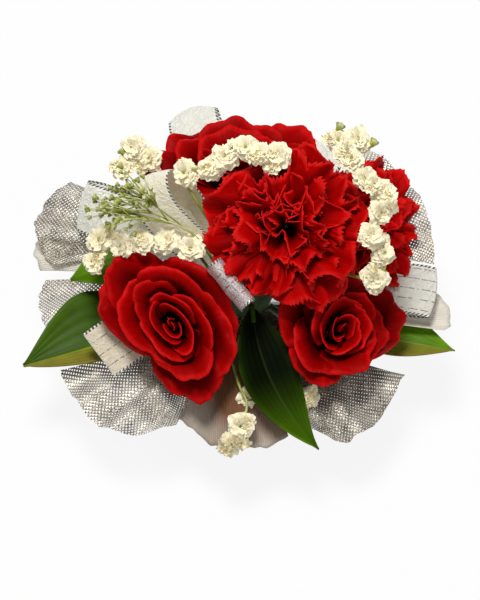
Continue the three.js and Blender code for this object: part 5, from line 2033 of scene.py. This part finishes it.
# Studio
@dataclass
class Studio:
    """White floor, soft light and the camera at the picture's angle.

    Attributes:
        aim: Point on the face that the camera looks at, in millimetres.
        floor_white: Share of plain white in the floor as the camera sees it.
    """

    lens: float = 200.0
    distance: float = 1.0
    elevation: float = 60.0
    aim: Triple = (-1.5, -3.0, 0.0)
    floor_size: float = 4.0
    floor_white: float = 0.88
    key_power: float = 10.5
    fill_power: float = 1.5
    sky: float = 0.22

    def build(self, plane: FacePlane) -> None:
        """Make the floor, the lamps, the world and the camera.

        Args:
            plane: The corsage's face.
        """
        self.floor()
        self.lamps()
        self.world()
        data = bpy.data.cameras.new("camera")
        data.lens = self.lens
        camera = add_object("camera", data)
        angle = math.radians(self.elevation)
        back = Vector((0.0, -math.cos(angle), math.sin(angle)))
        camera.location = Vector(plane.point(*self.aim) * MM) + back * self.distance
        camera.rotation_euler = (-back).to_track_quat("-Z", "Y").to_euler()
        bpy.context.scene.camera = camera
        bpy.context.scene.view_settings.view_transform = "Standard"

    def floor(self) -> None:
        """Make the pale floor, which keeps a soft shadow on white."""
        half = self.floor_size / 2
        mesh = bpy.data.meshes.new("floor")
        corners = [(-half, -half, 0), (half, -half, 0), (half, half, 0), (-half, half, 0)]
        mesh.from_pydata(corners, [], [(0, 1, 2, 3)])
        paint = Paint("white_floor")
        paint.set("Base Color", (0.9, 0.9, 0.9))
        paint.set("Roughness", 0.8)
        path = paint.node("ShaderNodeLightPath").outputs
        seen = paint.math("MAXIMUM", path["Is Camera Ray"],
                          paint.math("MAXIMUM", path["Is Glossy Ray"], path["Is Transmission Ray"]))
        mixed = paint.fed("ShaderNodeMixShader", {
            0: paint.math("MULTIPLY", seen, self.floor_white), 1: paint.shader.outputs[0],
            2: paint.node("ShaderNodeEmission").outputs[0]})
        paint.put(paint.tree.nodes["Material Output"].inputs[0], mixed[0])
        mesh.materials.append(paint.material)
        add_object("floor", mesh)

    def lamps(self) -> None:
        """Make a large key lamp and a weaker fill lamp."""
        for name, place, size, power in (
            ("key", (-0.12, 0.1, 1.15), 0.3, self.key_power),
            ("fill", (0.7, -0.8, 0.6), 0.8, self.fill_power),
        ):
            data = bpy.data.lights.new(name, "AREA")
            data.size = size
            data.energy = power
            lamp = add_object(name, data)
            lamp.location = place
            lamp.rotation_euler = (Vector((0, 0, 0.05)) - Vector(place)).to_track_quat("-Z", "Y").to_euler()

    def world(self) -> None:
        """Make a soft white sky that the camera sees as white."""
        world = bpy.data.worlds.new("sky")
        world.use_nodes = True
        canvas = Canvas(world.node_tree)
        path = canvas.node("ShaderNodeLightPath").outputs
        seen = canvas.math("MAXIMUM", path["Is Camera Ray"], path["Is Transmission Ray"])
        background = world.node_tree.nodes["Background"]
        background.inputs["Color"].default_value = (1.0, 1.0, 1.0, 1.0)
        canvas.put(background.inputs["Strength"], canvas.span(seen, 0.0, 1.0, self.sky, 1.0))
        bpy.context.scene.world = world


# The corsage's own pieces
FLOWERS: tuple[Flower, ...] = (
    Carnation("carnation_centre", (12.2, 17.0, 34), (0, -0.12, 1), (0.4, 0.5, 0.75), 43.6, 17, 68),
    Rose("rose_left", (-23.0, -11.4, 22), (-0.12, -0.05, 1), (-0.85, -0.45, -0.1), 51.1, 19, 73,
         -56.0, (0.5, 0.69)),
    Rose("rose_right", (30.0, -11.5, 19), (0.25, 0.05, 0.95), (0.8, -0.55, -0.15), 38.6, 18, 42,
         62.0, (0.62, 0.92)),
    Rose("rose_back", (-5.4, 41.4, 3), (-0.03, 0.72, 0.69), (-0.1, 0.9, -0.2), 49.6, 19, 47,
         9.0, (0.62, 0.82)),
    Carnation("carnation_right", (39.5, 20.5, 6), (0.5, 0.2, 0.8), (0.85, 0.35, -0.3), 37, 15, 12),
)

LEAVES: tuple[Leaf, ...] = (
    Leaf("leaf_left", (-0.93, -0.23, -0.19), (-17, -2, 35), (-28, -11, 29), (-46, -17, 33),
         (-66.6, -22.8, 30), (7.0, 16.0), 0.3, (0.95, 0.42)),
    Leaf("leaf_left_upper", (-0.9, 0.3, 0.1), (-15, 4, 43), (-24, 8, 43), (-38, 9, 45), (-52.5, 3, 41),
         (8.5, 8.5), 0.3, (0.55, 0.62)),
    Leaf("leaf_right", (0.93, 0.05, -0.32), (17, -1, 34), (30, -12, 27), (46, -16, 30), (63.3, -18.3, 29),
         (10.0, 6.0), 0.3, (0.66, 0.92)),
    Leaf("leaf_front", (0.15, -0.95, 0.2), (2, -9, 44), (2, -5, 48), (4, -29, 38), (21.9, -47.4, 27),
         (8.5, 8.5), 0.3, (0.42, 0.5), 0.72),
)

SPRIGS: tuple[Sprig, ...] = (
    Sprig("sprig_arc_top", (-0.2, 0.88, 0.42), 2, (
        (-13.5, 25, 19), (-18.6, 35.2, 22), (-10.2, 36.5, 27), (-6, 40.3, 28), (0, 42.8, 30), (4.6, 41.5, 32),
        (9.4, 40.3, 32)), 31),
    Sprig("sprig_arc_right", (0.75, 0.1, 0.6), 2, (
        (22, 6.5, 13), (39, 3, 27), (42, 11.1, 28), (38.5, 16.5, 31), (41, 23, 31), (42, 29.5, 28),
        (36, 33.5, 30), (32, 39.5, 28), (28, 45, 25), (34, 45.5, 22)), 32,
        buds=((28.3, 48.7, 25), (38.4, 44, 22))),
    Sprig("sprig_upper_left", (-0.55, 0.8, 0.45), 2, (
        (-28, 21.5, 4.5), (-37, 37, 4), (-34, 43, 5), (-29, 39.5, 4)), 33,
        buds=((-36.5, 41.5, 5),)),
    Sprig("sprig_lower_left", (-0.85, 0.1, 0.47), 2, (
        (-12, 8, 12), (-16.5, 12.7, 17), (-24, 15, 17), (-31.2, 14.5, 17), (-37.8, 13, 17), (-44.1, 15, 14),
        (-46, 8.5, 13)), 34),
    Sprig("sprig_front", (-0.15, -0.9, 0.3), 4, (
        (-4, -18, 6), (-2, -28, 8), (0.5, -34, 11), (-1, -41, 12), (-4, -46.5, 10)), 35,
        aside=((1.5, -33, 7), (18.6, -31, 7))),
)

BUDS = BudSpray(
    "sprig_buds", (-0.62, 0.3, 0.73), ((-15, 16, 18), (-25, 21, 21)),
    ((-34.8, 30, 22), (-39, 27, 20), (-42.3, 24, 21), (-37, 20.7, 23), (-30, 29, 24)), 36)

FANS: tuple[ClothFan, ...] = (
    ClothFan("net_left_upper", (-0.78, 0.6, 0), (-28, 18, 40),
             ((-53, 33, 42), (-72, 22, 40), (-58, 7.8, 37)), 2, Cloth.NET, (0.8, 0.3)),
    ClothFan("net_left_middle", (-0.95, 0.1, -0.25), (-30, 1, 37),
             ((-61, 3, 28), (-65, -4, 28), (-60, -12, 28)), 1, Cloth.NET),
    ClothFan("net_front_left", (-0.65, -0.75, 0), (-17, -20, 36),
             ((-55.5, -24, 26), (-46, -50, 26), (-20.7, -40.5, 26)), 3, Cloth.NET),
    ClothFan("net_front_right", (0.65, -0.75, 0), (16, -22, 36),
             ((15.6, -36.3, 26), (32, -58, 26), (48.3, -25.5, 26)), 3, Cloth.NET, (1.0, 0.55)),
    ClothFan("net_right_upper", (0.75, 0.6, -0.05), (26, 20, 40),
             ((36.6, 43.2, 44), (58, 34, 44), (57.3, 7.8, 41)), 2, Cloth.NET),
    ClothFan("satin_tail_left", (-0.85, 0.41, -0.29), (-30, 8, 38),
             ((-62, 17, 33), (-67, 12, 33), (-62, 6, 33)), 1, Cloth.SATIN, (0.3, 0.0)),
    ClothFan("satin_tail_right", (0.97, -0.18, -0.07), (30, -7, 34),
             ((60, -12, 34), (65, -8, 34), (58, -1, 34)), 1, Cloth.SATIN, (0.3, 0.0)),
    ClothFan("satin_tail_front", (-0.1, -0.95, 0), (-4, -18, 38),
             ((-20, -38, 25), (-6, -54, 25), (13, -43.5, 25)), 2, Cloth.SATIN, (1.5, 0.5)),
)


def ribbon_loops(plane: FacePlane) -> tuple[RibbonLoop, ...]:
    """List the seven ribbon loops, placed on the face or at a height above the table.

    Args:
        plane: The corsage's face.

    Returns:
        The loops.
    """
    point, height = plane.point, plane.at_height
    return (
        RibbonLoop("sheer_loop_centre", (-0.25, 0.05, 0.95), point(-5, 1, 14), point(-3.8, 2.2, 29),
                   (0.64, -0.77, 0), 3.6, Ribbon.GLITTER),
        RibbonLoop("sheer_loop_inner_left", (-0.4, 0.69, 0.59), point(-19, 17, 10), point(-27.5, 34.5, 14),
                   (0.75, 0.4, 0.55), 8, Ribbon.TAUPE, 15, inside=0.65),
        RibbonLoop("sheer_loop_left", (-0.7, 0.61, 0.36), height(-24, 18, 50), height(-50, 26, 50),
                   (0.28, 0.96, 0), 4, Ribbon.WHITE, 20),
        RibbonLoop("sheer_loop_lower_left", (-0.95, -0.25, 0.05), height(-28, -8, 39),
                   height(-43.5, -19.6, 40), (0.6, -0.8, 0), 2.5, Ribbon.LINED, bow=0.0, glint=1.0),
        RibbonLoop("sheer_loop_top", (-0.35, 0.86, -0.38), height(-10, 28, 39), height(-16.5, 56.5, 44),
                   (0.92, 0.38, 0), 5, Ribbon.WHITE, 8, 0.045),
        RibbonLoop("sheer_loop_right", (0.98, 0.1, 0.1), height(28, 3, 39), height(57.6, -1, 40),
                   (0, 0.93, -0.3), 2.5, Ribbon.DASHED),
        RibbonLoop("sheer_loop_top_right", (0.35, 0.9, -0.1), height(13, 22, 42), height(24, 45, 49),
                   (1, 0, 0), 3),
    )


def main() -> None:
    """Build every sub-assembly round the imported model, then the studio."""
    logging.basicConfig(level=logging.INFO, format="%(message)s")
    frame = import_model()
    hub_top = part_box("stem_bundle")[1].z / MM
    plane = FacePlane(hub_height=hub_top - FacePlane.hub_radius)
    finishes = Finishes(SharedEffects())
    Studio().build(plane)
    Wristlet().build(finishes)
    StemBundle().build(plane, finishes)
    Clip().build(frame["nodes"], finishes)
    for piece in (*FLOWERS, *LEAVES, *ribbon_loops(plane), *FANS):
        piece.build(plane, finishes)
    scatter = FloretScatter(finishes.filler)
    for sprig in SPRIGS:
        sprig.build(plane, finishes, scatter)
    scatter.clear()
    BUDS.build(plane, finishes)


if __name__ == "__main__":
    main()
